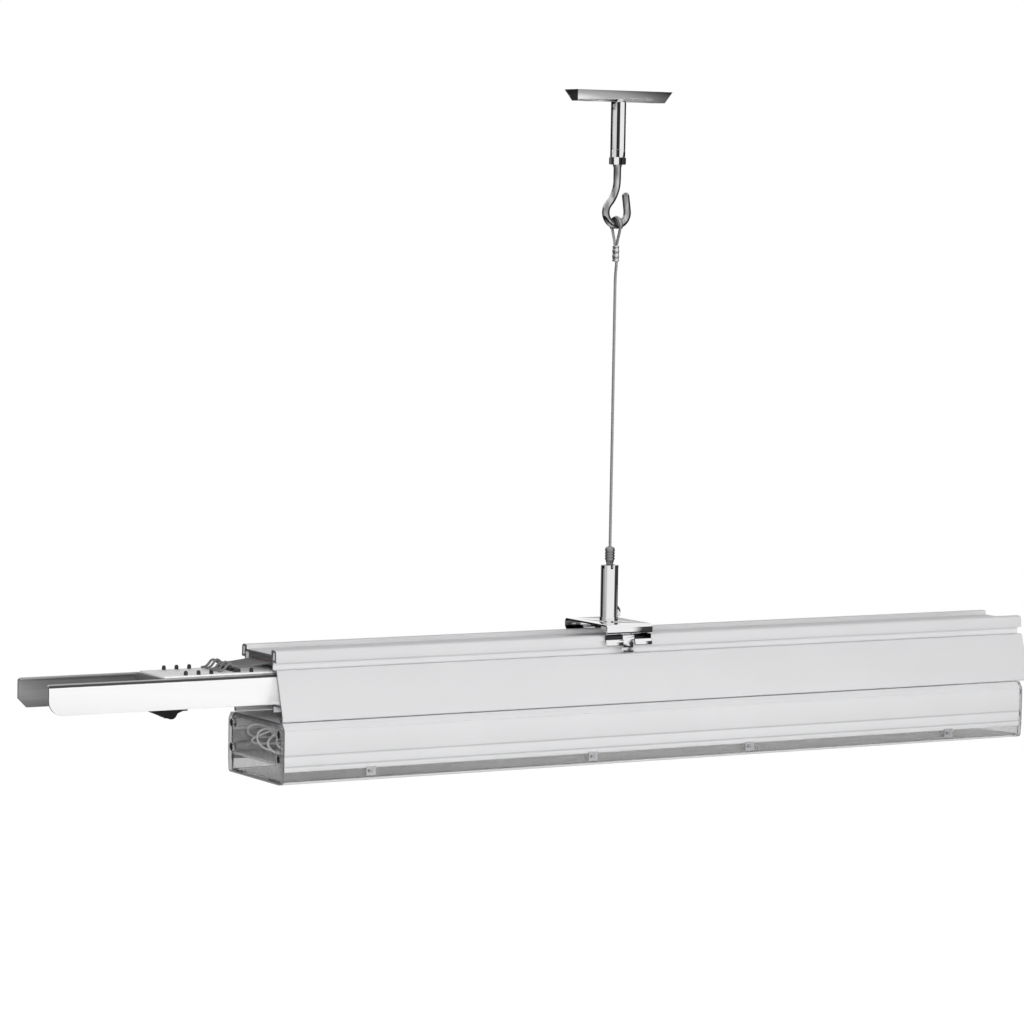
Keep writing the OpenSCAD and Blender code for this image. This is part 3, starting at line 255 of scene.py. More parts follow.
def grown(name, base, tool, values):
    """A new object with the plain mesh that a tree makes from the base object."""
    modifier = base.modifiers.new("tool", "NODES")
    modifier.node_group = tool
    for item in tool.interface.items_tree:
        if item.in_out == "INPUT" and item.name in values:
            modifier[item.identifier] = values[item.name]
    mesh = applied(base)
    mesh.name = name
    made = new_object(name, mesh)
    print(f"{name}: {len(mesh.vertices)} points, {len(mesh.polygons)} faces")
    return made


def finished(name, mesh):
    """An object from a bmesh, with smooth faces and sharp edges where it really turns a corner."""
    data = bpy.data.meshes.new(name)
    mesh.to_mesh(data)
    mesh.free()
    data.shade_smooth()
    data.set_sharp_from_angle(angle=SHARP)
    made = new_object(name, data)
    print(f"{name}: {len(data.vertices)} points, {len(data.polygons)} faces")
    return made


def points_object(points):
    """A mesh of loose points, for a tree to set pieces out on."""
    mesh = bpy.data.meshes.new("points")
    mesh.from_pydata([tuple(p) for p in points], [], [])
    return new_object("points", mesh)


def curve_object(points):
    """A curve of one open line through the points."""
    data = bpy.data.curves.new("line", "CURVE")
    data.dimensions = "3D"
    line = data.splines.new("POLY")
    line.points.add(len(points) - 1)
    for spot, p in zip(line.points, points):
        spot.co = (*p, 1)
    return new_object("line", data)


print("geometry tools ready")

# %% [markdown]
# ## Surface recipes
# Each finish on this light is one of seven kinds: powder coat on an extrusion, sheet that is coated on one
# side, plated or polished metal, turned or drawn steel, moulded plastic, and clear plastic as a thick
# moulding or as a thin cover. A finish is never one flat colour. Powder coat has a fine orange peel and
# its gloss drifts a little, plating shows faint handling marks in its roughness, drawn metal has lines
# along the draw, moulded plastic a fine spark-eroded grain. All patterns read Object coordinates in
# metres, so a scale of 1000 is one pattern step per millimetre.
#
# Some finishes also change from place to place: bare metal at a sawn end, painted shade along a coated
# sheet's cut edges and in a groove, and painted dark reflections on the corners of a plated nut. Each such
# place is
# a mask: comparisons of the three coordinates, multiplied, are 1 there and 0 elsewhere. A groove's mask
# fades towards its edges.

# %% Surface recipes
WHITE = (1, 1, 1, 1)
SAWN = 0.15 * MM


class Finish(Tree):
    """A material's tree with one Principled shader."""

    def __init__(self, name, colour, roughness, metallic=0.0, ior=1.5):
        self.material = bpy.data.materials.new(name)
        self.material.use_nodes = True
        super().__init__(self.material.node_tree)
        self.shader = self.tree.nodes["Principled BSDF"]
        self.set("Base Color", (*colour, 1))
        self.set("Roughness", roughness)
        self.set("Metallic", metallic)
        self.set("IOR", ior)
        self.place = self.node("ShaderNodeTexCoord", output="Object")

    def set(self, name, value):
        self.feed(self.shader.inputs[name], value)

    def stretched(self, scale):
        """Object coordinates, multiplied along each axis."""
        return self.node("ShaderNodeMapping", inputs={"Vector": self.place, "Scale": scale})

    def noise(self, scale, detail=2.0, place=None):
        return self.node("ShaderNodeTexNoise", inputs={
            "Vector": place or self.place, "Scale": scale, "Detail": detail})

    def axes(self):
        """The three Object coordinates as numbers, in metres."""
        split = self.tree.nodes.new("ShaderNodeSeparateXYZ")
        self.feed(split.inputs[0], self.place)
        return [Value(self, socket) for socket in split.outputs]

    def ramp(self, factor, low, high):
        """0 up to low, 1 from high, straight between."""
        return self.node("ShaderNodeMapRange", {"clamp": True}, {"Value": factor, "From Min": low,
                                                                "From Max": high})

    def tinted(self, factor, a, b):
        """The colour a where the factor is 0 and b where it is 1; each is three numbers or a Value."""
        a, b = (c if isinstance(c, Value) else (*c, 1) for c in (a, b))
        return self.node("ShaderNodeMix", {"data_type": "RGBA"}, {0: factor, 6: a, 7: b}, 2)

    def bump(self, height, depth, strength=1.0):
        """Surface relief, depth metres deep where the height is 1. A height in metres has a depth of 1."""
        self.set("Normal", self.node("ShaderNodeBump", inputs={
            "Strength": strength, "Distance": depth, "Height": height}))


def shade(colour, factor):
    return tuple(c * factor for c in colour)


def powder_coat(name, colour, roughness, drift, ends=None, shadow=None):
    """White coat: orange peel a millimetre across, and a slow drift of tone and gloss. An extrusion is
    coated before it is sawn, so between its two ends and the saw's cut the metal is bare. Where
    shadow(finish) is 1, in grooves and hollows, shade is painted into the coat: it is darkened to 0.45."""
    f = Finish(name, colour, roughness)
    coat = f.tinted(f.ramp(f.noise(22, 2), 0.35, 0.65), shade(colour, 1 - drift), colour)
    # painted shade: the coat darkened to 0.45 where shadow(f) is 1
    if shadow:
        coat = f.tinted(shadow(f), coat, shade(colour, 0.45))
    gloss = roughness + (f.noise(160, 3) - 0.5) * 0.12
    if ends:
        x = f.axes()[0]
        bare = (x < ends[0] + SAWN) + (x > ends[1] - SAWN)
        marks = f.noise(1, 2, f.stretched((100, 300, 3000)))
        f.set("Metallic", bare)
        f.set("Base Color", f.tinted(bare, coat, f.tinted(marks, (0.30, 0.30, 0.31), (0.52, 0.52, 0.53))))
        f.set("Roughness", gloss + bare * 0.1)
    else:
        f.set("Base Color", coat)
        f.set("Roughness", gloss)
    f.bump(f.noise(900, 2), 0.02 * MM, 0.5)
    return f.material


def folded_sheet(name, colour, bare_colour, half, top):
    """Sheet that is coated on its outer faces only: half is the half width inside them, and top the height
    above which the fold and the web show the plain sheet. Its cut edges are painted near black, as painted
    shade."""
    thickness, roughness = 1.1 * MM, 0.32
    f = Finish(name, colour, roughness)
    _, y, z = f.axes()
    outside = (abs(y) > half) * (z < top)
    edge = (abs(y) < half) * (abs(y) > half - thickness)
    grain = f.noise(1, 3, f.stretched((30, 1400, 1400)))
    sheet = f.tinted(grain, shade(bare_colour, 0.75), bare_colour)
    # painted shade: the cut edges near black
    sheet = f.tinted(edge, sheet, shade(bare_colour, 0.15))
    f.set("Base Color", f.tinted(outside, sheet, colour))
    f.set("Metallic", 0.6 - outside * 0.6)
    f.set("Roughness", roughness + (f.noise(160, 3) - 0.5) * 0.1)
    f.bump(f.noise(900, 2), 0.02 * MM, 0.4)
    return f.material


def plated(name, colour, roughness, smudge, painted_dark=None, crown=None):
    """Plated or polished metal with faint handling marks in its gloss. Where the darkening mask is 1, the
    colour is painted near black, as painted shade in hollows and painted dark reflections on polished
    corners.
    crown(finish) is the height in metres of a face that isn't flat."""
    f = Finish(name, colour, roughness, metallic=1.0)
    marks = f.ramp(f.noise(140, 4), 0.45, 0.75)
    coat = f.tinted(f.noise(60, 2), shade(colour, 0.93), colour)
    f.set("Roughness", roughness + marks * smudge)
    # painted shade and painted dark reflections: the colour near black where the darkening mask is 1
    f.set("Base Color", f.tinted(painted_dark(f), coat, (0.035, 0.035, 0.037)) if painted_dark else coat)
    marks_height = f.noise(1500, 2) * (0.0016 * MM)
    f.bump(marks_height + crown(f) if crown else marks_height, 1.0)
    return f.material


def ceiling_set_painted_reflections(f):
    """Painted dark reflections of the chrome: 1 along the six corners of the spacer and the nuts, which
    stand on the upright axis, and 0.3 to 0.8 on the hook below them, in streaks."""
    x, y, z = f.axes()
    radius = f.node("ShaderNodeMath", {"operation": "SQRT"}, {0: x * x + y * y})
    corners = (radius > corner_r) * (z < hexagons[1]) * (z > hexagons[0])
    reflection_streaks = f.ramp(f.noise(1, 3, f.stretched((420, 420, 60))), 0.36, 0.64)
    return corners + (reflection_streaks * 0.5 + 0.3) * (z < hexagons[0]) * (z > hook_low)


def plate_crown(f):
    """The ceiling plate's rolled sides bulge a little at half height."""
    share = (f.axes()[2] - plate_middle) / plate_rise
    return (1 - share * share) * (abs(share) < 1) * plate_bulge


def module_shadow(f):
    """Painted shade: 1 inside the module's housing, and up to a half in the two grooves along its sides."""
    _, y, z = f.axes()
    shadow = (abs(y) < wall_middle) * (z < shadow_top)
    for place in groove_heights:
        off = abs(z - place) / groove_reach
        shadow = shadow + (off < 1) * (1 - off) * 0.5
    return shadow


def saddle_painted_shade(f):
    """Painted shade: 1 under the bracket's top and in the hollow between shoulders and wings, not on its
    tongues.
    """
    x, y, z = f.axes()
    return (abs(x) > tongue_half) * (abs(y) < shoulder_out) * (z < saddle_roof)


def drawn_metal(name, colour, roughness, scale, depth):
    """Bare or turned metal with fine lines; scale is the pattern's steps per metre along each axis."""
    f = Finish(name, colour, roughness, metallic=1.0)
    lines = f.noise(1, 3, f.stretched(scale))
    f.set("Base Color", f.tinted(lines, shade(colour, 0.78), colour))
    f.set("Roughness", roughness + (lines - 0.5) * 0.25)
    f.bump(lines, depth, 0.5)
    return f.material


def moulded(name, colour, roughness, grain):
    """Moulded plastic with a fine eroded grain of grain metres."""
    f = Finish(name, colour, roughness)
    f.set("Base Color", f.tinted(f.noise(90, 3), shade(colour, 0.88), colour))
    f.set("Roughness", roughness + (f.noise(400, 2) - 0.5) * 0.15)
    f.bump(f.noise(2500, 2), grain, 0.6)
    return f.material


def clear_moulding(name, tint, roughness, ior, ripple):
    """Clear plastic. What is the same all over is set on the shader's own sockets."""
    f = Finish(name, tint, roughness, ior=ior)
    f.set("Transmission Weight", 1.0)
    f.set("Roughness", roughness + f.noise(80, 2) * 0.06)
    f.bump(f.noise(180, 2), ripple, 0.5)
    return f.material


def clear_cover(name, tint, rim_tint, low, high, rim):
    """A thin clear cover, see-through but smoky, and denser in the rim that runs round its outline. The
    outline is the box from low to high, across and upwards, and the rim is thicker along its top."""
    roughness, top_rim = 0.12, rim * 1.6
    f = Finish(name, tint, roughness)
    _, y, z = f.axes()
    inside = (y > low.y + rim) * (y < high.y - rim) * (z > low.z + rim) * (z < high.z - top_rim)
    cloud = f.ramp(f.noise(190, 3), 0.42, 0.68)
    pane = f.tinted(cloud, tint, (0.60, 0.60, 0.61))
    f.set("Base Color", f.tinted(inside, rim_tint, pane))
    f.set("Alpha", 0.6 - inside * 0.48 + inside * cloud * 0.16)
    f.set("Roughness", roughness + cloud * 0.15)
    f.bump(f.noise(180, 2), 0.04 * MM, 0.5)
    return f.material


print("seven surface recipes ready")

# %% [markdown]
# ## The finishes of this light
# The names are the record's material slots, so a finish is found by the slot of the node that it is for.
# Before the list come the measures that the masks need, taken from the frame where it has them.

# %% Finishes
ALONG = (6, 900, 900)      # lines along the trunk
AROUND = (60, 60, 2600)    # turned rings round an upright axis
EVEN = (700, 700, 700)

rail_ends, module_ends = ([corner.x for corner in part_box(name)] for name in ("rail", "module_housing"))
rail_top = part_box("rail")[1].z
# Joiner: half its inner width, and the height of its fold
joiner_half, joiner_fold = 24.25 * MM, rail_top - 16.4 * MM
cover_low, cover_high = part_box("end_plate_left")
cover_rim = 1.6 * MM
# Ceiling set: heights of the spacer with its nuts, the radius where its corners begin, and the hook's end
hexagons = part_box("hook_nuts")[0].z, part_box("ceiling_plate")[0].z
corner_r = 5.26 * MM
hook_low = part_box("hook")[0].z - MM
plate_middle = sum(corner.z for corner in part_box("ceiling_plate")) / 2
plate_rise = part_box("ceiling_plate")[1].z - plate_middle
plate_bulge = 0.26 * MM
# Module: the middle of its side walls, the height below which its inside is in shadow, and its two
# grooves, which begin at shares of its height and are darkest a little lower
module_low, module_top = (corner.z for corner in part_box("module_housing"))
wall_middle, shadow_top = 36.7 * MM, rail_top - 58 * MM
groove_reach, groove_drop = 0.9 * MM, 0.4 * MM
groove_heights = [module_top + (module_low - module_top) * share - groove_drop for share in (0.655, 0.88)]
# Bracket: half the width of its middle tongues, how far out its shoulders reach, and just under its top
tongue_half, shoulder_out = 4.5 * MM, 25.95 * MM
saddle_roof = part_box("clamp_bracket")[1].z - 0.7 * MM

finishes = {
    "zinc_plated": plated("zinc_plated", (0.86, 0.86, 0.87), 0.06, 0.10, ceiling_set_painted_reflections, plate_crown),
    "barrel_chrome": plated("barrel_chrome", (0.84, 0.84, 0.85), 0.06, 0.10),
    "saddle_chrome": plated("saddle_chrome", (0.88, 0.88, 0.89), 0.05, 0.08, saddle_painted_shade),
    "rope_steel": drawn_metal("rope_steel", (0.62, 0.62, 0.63), 0.34, EVEN, 0.01 * MM),
    "ferrule_metal": drawn_metal("ferrule_metal", (0.88, 0.88, 0.88), 0.42, (500, 500, 90), 0.01 * MM),
    "thimble_steel": drawn_metal("thimble_steel", (0.26, 0.26, 0.27), 0.36, EVEN, 0.01 * MM),
    "plunger_steel": drawn_metal("plunger_steel", (0.36, 0.36, 0.37), 0.36, AROUND, 0.01 * MM),
    "cone_brass": drawn_metal("cone_brass", (0.72, 0.56, 0.29), 0.28, AROUND, 0.01 * MM),
    "spring_steel": drawn_metal("spring_steel", (0.62, 0.62, 0.64), 0.26, EVEN, 0.006 * MM),
    "copper": drawn_metal("copper", (0.80, 0.42, 0.26), 0.30, ALONG, 0.006 * MM),
    "rail_white": powder_coat("rail_white", (0.675, 0.675, 0.685), 0.42, 0.02, rail_ends),
    "module_white": powder_coat("module_white", (0.70, 0.70, 0.71), 0.44, 0.02, module_ends, module_shadow),
    "joiner_white": folded_sheet("joiner_white", (0.87, 0.87, 0.87), (0.40, 0.40, 0.405), joiner_half,
                                 joiner_fold),
    "board_white": powder_coat("board_white", (0.82, 0.82, 0.80), 0.35, 0.03),
    "insulator_dark": moulded("insulator_dark", (0.10, 0.10, 0.105), 0.5, 0.01 * MM),
    "contact_grey": moulded("contact_grey", (0.97, 0.97, 0.98), 0.48, 0.01 * MM),
    "contact_black": moulded("contact_black", (0.02, 0.02, 0.02), 0.4, 0.01 * MM),
    "catch_black": moulded("catch_black", (0.006, 0.006, 0.006), 0.5, 0.01 * MM),
    "link_grey": moulded("link_grey", (0.16, 0.16, 0.165), 0.45, 0.004 * MM),
    "driver_case": moulded("driver_case", (0.78, 0.78, 0.77), 0.5, 0.01 * MM),
    "lead_white": moulded("lead_white", (0.95, 0.95, 0.95), 0.36, 0.004 * MM),
    "plug_dark": moulded("plug_dark", (0.09, 0.09, 0.095), 0.48, 0.01 * MM),
    "led_yellow": moulded("led_yellow", (0.88, 0.72, 0.20), 0.3, 0.004 * MM),
    "clear_lens": clear_moulding("clear_lens", (0.63, 0.63, 0.63), 0.10, 1.45, 0.03 * MM),
    "end_clear": clear_cover("end_clear", (0.20, 0.20, 0.205), (0.22, 0.22, 0.23), cover_low, cover_high,
                             cover_rim)}
print(f"{len(finishes)} finishes")


def dress(node):
    """A CAD node keeps its mesh and takes the finish of its slot."""
    part = nodes[node]
    finish = finishes[slot_of[node]]
    if not part.material_slots:
        part.data.materials.append(finish)
    for material_slot in part.material_slots:
        material_slot.material = finish


def hand_over(piece, node):
    """A new piece rides where its node rides, takes its finish and stands for it."""
    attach(piece, body_of[node])
    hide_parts(node)
    return piece


for name in nodes:
    dress(name)

# %% [markdown]
# ## The wire rope
# The light hangs from a 2 mm rope of seven strands: six laid round a straight one. It comes out of the
# gripper, runs up to the crimp sleeve, round the thimble and back into the sleeve. A plain tube would look
# like a rod, so a geometry tree lays the strands: it copies the route once for each strand, moves each copy
# sideways by an angle that grows along the rope, and sweeps a small circle along it. The picture shows the
# rope from end to end, so its length here is the length of the route.

# %% Rope route and strands
eye_centre = Vector((0, 0, -0.090))
rope_diameter = 2 * MM
lay_length, strand_step = 13.5 * MM, 0.9 * MM
rope_route = [(0, -254), (0, -236), (0, -212), (0, -186), (0, -160), (0, -134), (0, -108), (0, -84),
              (0, -64), (0, -50), (0, -41), (-0.1, -36), (-0.4, -32), (-0.8, -29), (-1.1, -26.5),
              (-1.15, -24), (-1.15, -20), (-1.15, -16), (-1.15, -14), (-1.5, -12), (-2.5, -9),
              (-3.9, -5.6), (-5, -2.4), (-5.4, 0), (-5, 2.1), (-3.8, 3.8), (-2.1, 5), (0, 5.4), (2.1, 5),
              (3.8, 3.8), (5, 2.1), (5.4, 0), (5, -2.4), (3.9, -5.6), (2.5, -9), (1.5, -12), (1.15, -14),
              (1.15, -17), (1.15, -23)]


def smooth(points, steps):
    """A smooth curve through the points, with so many steps between each two."""
    line = []
    last = len(points) - 1
    for i in range(last):
        a, b, c, d = (points[min(max(k, 0), last)] for k in (i - 1, i, i + 1, i + 2))
        for k in range(steps):
            t = k / steps
            line.append(0.5 * (2 * b + (c - a) * t + (2 * a - 5 * b + 4 * c - d) * t * t
                               + (3 * b - a - 3 * c + d) * t * t * t))
    return line + [points[last]]


def length_of(line):
    return sum((b - a).length for a, b in zip(line, line[1:]))


rope_line = smooth([eye_centre + Vector((0, y, z)) * MM for y, z in rope_route], 6)
rope_length = length_of(rope_line)


def lay_strands(tree, given):
    even = tree.node("GeometryNodeResampleCurve", {"mode": "LENGTH"},
                     {"Curve": given["Geometry"], "Length": given["Step"]})
    copies = tree.tree.nodes.new("GeometryNodeDuplicateElements")
    copies.domain = "SPLINE"
    tree.feed(copies.inputs["Geometry"], even)
    tree.feed(copies.inputs["Amount"], given["Strands"])
    strand = Value(tree, copies.outputs["Duplicate Index"])
    along = tree.node("GeometryNodeSplineParameter", output="Length")
    angle = (along / given["Lay"] + strand / given["Strands"]) * (2 * math.pi)
    tangent = tree.node("GeometryNodeInputTangent")
    across = (1, 0, 0)
    beside = tree.node("ShaderNodeVectorMath", {"operation": "CROSS_PRODUCT"}, {0: tangent, 1: across})
    steps = [tree.node("ShaderNodeVectorMath", {"operation": "SCALE"}, {0: way, "Scale": tree.node(
        "ShaderNodeMath", {"operation": wave}, {0: angle}) * given["Orbit"]})
        for way, wave in ((across, "COSINE"), (beside, "SINE"))]
    offset = tree.node("ShaderNodeVectorMath", {"operation": "ADD"}, {0: steps[0], 1: steps[1]})
    laid = tree.node("GeometryNodeSetPosition", inputs={"Geometry": Value(tree, copies.outputs["Geometry"]),
                                                        "Offset": offset})
    both = tree.tree.nodes.new("GeometryNodeJoinGeometry")
    for line in (even, laid):
        tree.tree.links.new(line.socket, both.inputs[0])
    round_wire = tree.node("GeometryNodeCurvePrimitiveCircle", inputs={
        "Resolution": given["Sides"], "Radius": given["Radius"]})
    swept = tree.node("GeometryNodeCurveToMesh", inputs={
        "Curve": Value(tree, both.outputs[0]), "Profile Curve": round_wire, "Fill Caps": True})
    return tree.node("GeometryNodeSetShadeSmooth", inputs={"Geometry": swept})


rope_tool = geometry_tool("laid_rope", {"Strands": "count", "Radius": "number", "Orbit": "number",
                                        "Lay": "number", "Step": "number", "Sides": "count"}, lay_strands)
strand_r = rope_diameter / 6
rope = grown("wire_rope", curve_object(rope_line), rope_tool, {
    "Strands": 6, "Radius": strand_r, "Orbit": 2 * strand_r, "Lay": lay_length, "Step": strand_step,
    "Sides": 8, "Material": finishes["rope_steel"]})
hand_over(rope, "suspension_wire")
print(f"rope length {rope_length:.4f} m")

# %% [markdown]
# ## The crimp sleeve
# A crimp sleeve is pressed on in three bites, and between the bites it swells. Its outline is an oval round
# two ropes side by side, so each ring of it is a circle that is pulled apart along the middle. The sleeve
# takes its height and its widths from the frame's plain one. A bite takes 17 per cent of its radius, and
# at both mouths the last three rings draw in to 86 per cent.

# %% Crimp sleeve
sleeve_low, sleeve_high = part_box("wire_ferrule")
sleeve_l = sleeve_high.z - sleeve_low.z
sleeve_r = (sleeve_high.x - sleeve_low.x) / 2
sleeve_gap = (sleeve_high.y - sleeve_low.y) / 2 - sleeve_r
bites, bite_depth = 3, 0.17
mouth_r, mouth_rings = 0.86, 3
rings, sides = 40, 40
sleeve_mesh = bmesh.new()
sleeve_rings = []
for i in range(rings + 1):
    share = i / rings
    bite = 0.5 + 0.5 * math.cos(2 * math.pi * (share * bites - 0.5))
    mouth = min(share, 1 - share) * rings / mouth_rings
    r = sleeve_r * (1 - bite_depth * bite) * (mouth_r + (1 - mouth_r) * min(mouth, 1) ** 0.5)
    sleeve_rings.append([sleeve_mesh.verts.new((
        r * math.sin(a), r * math.cos(a) + math.copysign(sleeve_gap, math.cos(a)),
        sleeve_low.z + sleeve_l * share)) for a in (2 * math.pi * (k + 0.5) / sides for k in range(sides))])
for low, high in zip(sleeve_rings, sleeve_rings[1:]):
    for k in range(sides):
        sleeve_mesh.faces.new((low[k], low[(k + 1) % sides], high[(k + 1) % sides], high[k]))
for end in (sleeve_rings[0][::-1], sleeve_rings[-1]):
    sleeve_mesh.faces.new(end)
bmesh.ops.recalc_face_normals(sleeve_mesh, faces=sleeve_mesh.faces)
sleeve = finished("crimped_sleeve", sleeve_mesh)
sleeve.data.materials.append(finishes["ferrule_metal"])
hand_over(sleeve, "wire_ferrule")

# %% [markdown]
# ## Reading places from the frame
# Screws, LEDs and posts are groups of separate solids in one node. Their places needn't be typed again:
# once the node's loose triangles are merged at their shared corners, each solid is an island, and its box
# says where it is. The same merged copy is the start of every piece that refines a node, because the
# node's own mesh stays as it is.

# %% Merged copies and islands
MERGE = 1e-6    # metres


def merged(node):
    """A node's triangles as a connected bmesh."""
    mesh = bmesh.new()
    mesh.from_mesh(nodes[node].data)
    bmesh.ops.remove_doubles(mesh, verts=mesh.verts, dist=MERGE)
    return mesh


def islands(node):
    """The lowest and highest corner of each separate solid of a node, in order along x."""
    mesh = merged(node)
    left, found = set(mesh.verts), []
    while left:
        queue = [left.pop()]
        corners = []
        while queue:
            vert = queue.pop()
            corners.append(vert.co.copy())
            near = {edge.other_vert(vert) for edge in vert.link_edges} & left
            left -= near
            queue.extend(near)
        found.append(tuple(Vector(pick(c[i] for c in corners) for i in range(3)) for pick in (min, max)))
    mesh.free()
    return sorted(found, key=lambda box: tuple(round(c, 4) for c in box[0]))


for name in ("end_screws", "leds", "contact_pins"):
    print(name, len(islands(name)), "solids")

# %% [markdown]
# ## Soft edges
# No real edge is a perfect corner. Sheet that was sawn or punched, an extrusion from its die and a moulding
# from its tool all have a small radius, and that radius is what draws the thin bright lines in a picture.
# The merged copy is cleaned of the lines between coplanar triangles, then every edge that turns by more
# than 30 degrees gets a bevel of two segments. The widths are what each process leaves, from 0.12 mm on
# the thin walls to 0.4 mm on the mouldings.

# %% Bevelled shells
edge_radius = {"ceiling_plate": 0.25, "hex_spacer": 0.15, "hook_nuts": 0.12, "stud_nut": 0.12,
               "clamp_bracket": 0.2, "rail": 0.12, "coupler": 0.25, "contact_carrier": 0.25,
               "coupler_latch": 0.4, "module_housing": 0.12, "led_board": 0.15, "end_plate_left": 0.25,
               "end_plate_right": 0.25, "driver": 0.4, "terminal_block": 0.3, "module_plug": 0.4,
               "module_clips": 0.12}


def soft_edged(node, radius):
    mesh = merged(node)
    bmesh.ops.dissolve_limit(mesh, angle_limit=math.radians(0.5), verts=mesh.verts, edges=mesh.edges)
    corners = [e for e in mesh.edges if e.is_manifold and e.calc_face_angle(0) > SHARP]
    bmesh.ops.bevel(mesh, geom=corners, offset=radius * MM, offset_type="OFFSET", segments=2,
                    profile=0.5, affect="EDGES", clamp_overlap=True)
    piece = finished(f"{node}_shell", mesh)
    piece.data.materials.append(finishes[slot_of[node]])
    return hand_over(piece, node)


for name, radius in edge_radius.items():
    soft_edged(name, radius)

# %% [markdown]
# ## Wires and springs
# The leads behind the end plate, the short wires from the contact block and the two springs lie just where
# the frame has them, but there they have only six or eight flat sides. Joining the triangles back into
# quads and subdividing them twice makes a true round wire on the same line.

# %% Round wires


def rounded(node):
    mesh = merged(node)
    bmesh.ops.join_triangles(mesh, faces=mesh.faces, angle_face_threshold=math.radians(60),
                             angle_shape_threshold=math.radians(180))
    rough = finished(f"{node}_rough", mesh)
    smooth_up = rough.modifiers.new("round", "SUBSURF")
    smooth_up.levels = smooth_up.render_levels = 2
    data = applied(rough)
    data.shade_smooth()
    piece = new_object(f"{node}_round", data)
    piece.data.materials.clear()
    piece.data.materials.append(finishes[slot_of[node]])
    return hand_over(piece, node)


for name in ("driver_leads", "link_wires", "latch_spring"):
    rounded(name)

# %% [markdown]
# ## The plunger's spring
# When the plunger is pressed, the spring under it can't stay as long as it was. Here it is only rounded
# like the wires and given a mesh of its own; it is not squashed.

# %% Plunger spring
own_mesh(rounded("gripper_spring"))

# %% [markdown]
# ## Screws with a cross recess
# A screw is a turned body with a cross pressed into its head. The body is a profile swept round its own
# axis, and the cross is cut with a Boolean: two tapered bars, as the real punch has. A second geometry
# tree then sets the finished screw out on points, one for each screw of a node, and turns them all to face
# one way. The points come from the islands of the node.

# %% Turned bodies


def turned_body(profile):
    """A closed body of revolution about z from (radius, height) points, from pole to pole."""
    mesh = bmesh.new()
    sides = 32
    rings = []
    for radius, height in profile:
        if radius == 0:
            rings.append([mesh.verts.new((0, 0, height))])
        else:
            rings.append([mesh.verts.new((radius * math.cos(a), radius * math.sin(a), height))
                          for a in (2 * math.pi * k / sides for k in range(sides))])
    for low, high in zip(rings, rings[1:]):
        for k in range(sides):
            after = k + 1
            ring = [low[k % len(low)], low[after % len(low)], high[after % len(high)], high[k % len(high)]]
            mesh.faces.new(list(dict.fromkeys(ring)))
    bmesh.ops.recalc_face_normals(mesh, faces=mesh.faces)
    return mesh


def cut(name, body, cutter):
    """The body less the cutter, as a mesh object; both arguments are used up."""
    main, tool = finished("cut_body", body), finished("cutter", cutter)
    boolean = main.modifiers.new("cut", "BOOLEAN")
    boolean.operation, boolean.solver, boolean.object = "DIFFERENCE", "EXACT", tool
    data = applied(main)
    bpy.data.objects.remove(tool)
    data.set_sharp_from_angle(angle=SHARP)
    return new_object(name, data)


def cross_punch(width, reach, depth):
    """Two crossed bars that narrow downwards from just above z = 0."""
    mesh = bmesh.new()
    above = depth * 0.3
    for long, short in ((reach, width), (width, reach)):
        top = [(x * long / 2, y * short / 2, above) for x, y in ((-1, -1), (1, -1), (1, 1), (-1, 1))]
        low = [(x * long * 0.3, y * short * 0.3, -depth) for x, y in ((-1, -1), (1, -1), (1, 1), (-1, 1))]
        verts = [mesh.verts.new(p) for p in top + low]
        mesh.faces.new(verts[:4])
        mesh.faces.new(verts[7:3:-1])
        for k in range(4):
            mesh.faces.new((verts[k], verts[4 + k], verts[4 + (k + 1) % 4], verts[(k + 1) % 4]))
    bmesh.ops.recalc_face_normals(mesh, faces=mesh.faces)
    return mesh


def pan_screw(head_d, head_h, shank_d, length):
    """A pan-head screw with the top of its head at z = 0. The thread on its shank is a row of rings."""
    r, s, edge, pitch = head_d / 2, shank_d / 2, head_h * 0.35, 0.5 * MM
    profile = [(0, 0), (r * 0.72, 0), (r * 0.92, -edge * 0.4), (r, -edge), (r, -head_h), (s, -head_h)]
    for k in range(int((length - head_h) / pitch)):
        z = -head_h - k * pitch
        profile += [(s, z - pitch * 0.2), (s * 0.88, z - pitch * 0.6)]
    profile += [(s * 0.6, -length), (0, -length)]
    return cut("screw", turned_body(profile), cross_punch(head_d * 0.16, head_d * 0.6, head_h * 0.8))


def set_out(tree, given):
    piece = tree.node("GeometryNodeObjectInfo", inputs={"Object": given["Piece"]}, output="Geometry")
    return tree.node("GeometryNodeInstanceOnPoints", inputs={
        "Points": given["Geometry"], "Instance": piece, "Rotation": given["Turn"]})


set_out_tool = geometry_tool("set_out", {"Piece": "piece", "Turn": "turn"}, set_out)
FACE_DOWN, FACE_LEFT, FACE_RIGHT = (math.pi, 0, 0), (0, -math.pi / 2, 0), (0, math.pi / 2, 0)


def set_pieces(name, piece, points, turn, finish, node):
    """A piece set out on the points, for all the solids of a node that it stands for."""
    made = grown(name, points_object(points), set_out_tool, {
        "Piece": piece, "Turn": turn, "Material": finishes[finish]})
    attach(made, body_of[node])
    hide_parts(node)


print("screw tools ready")

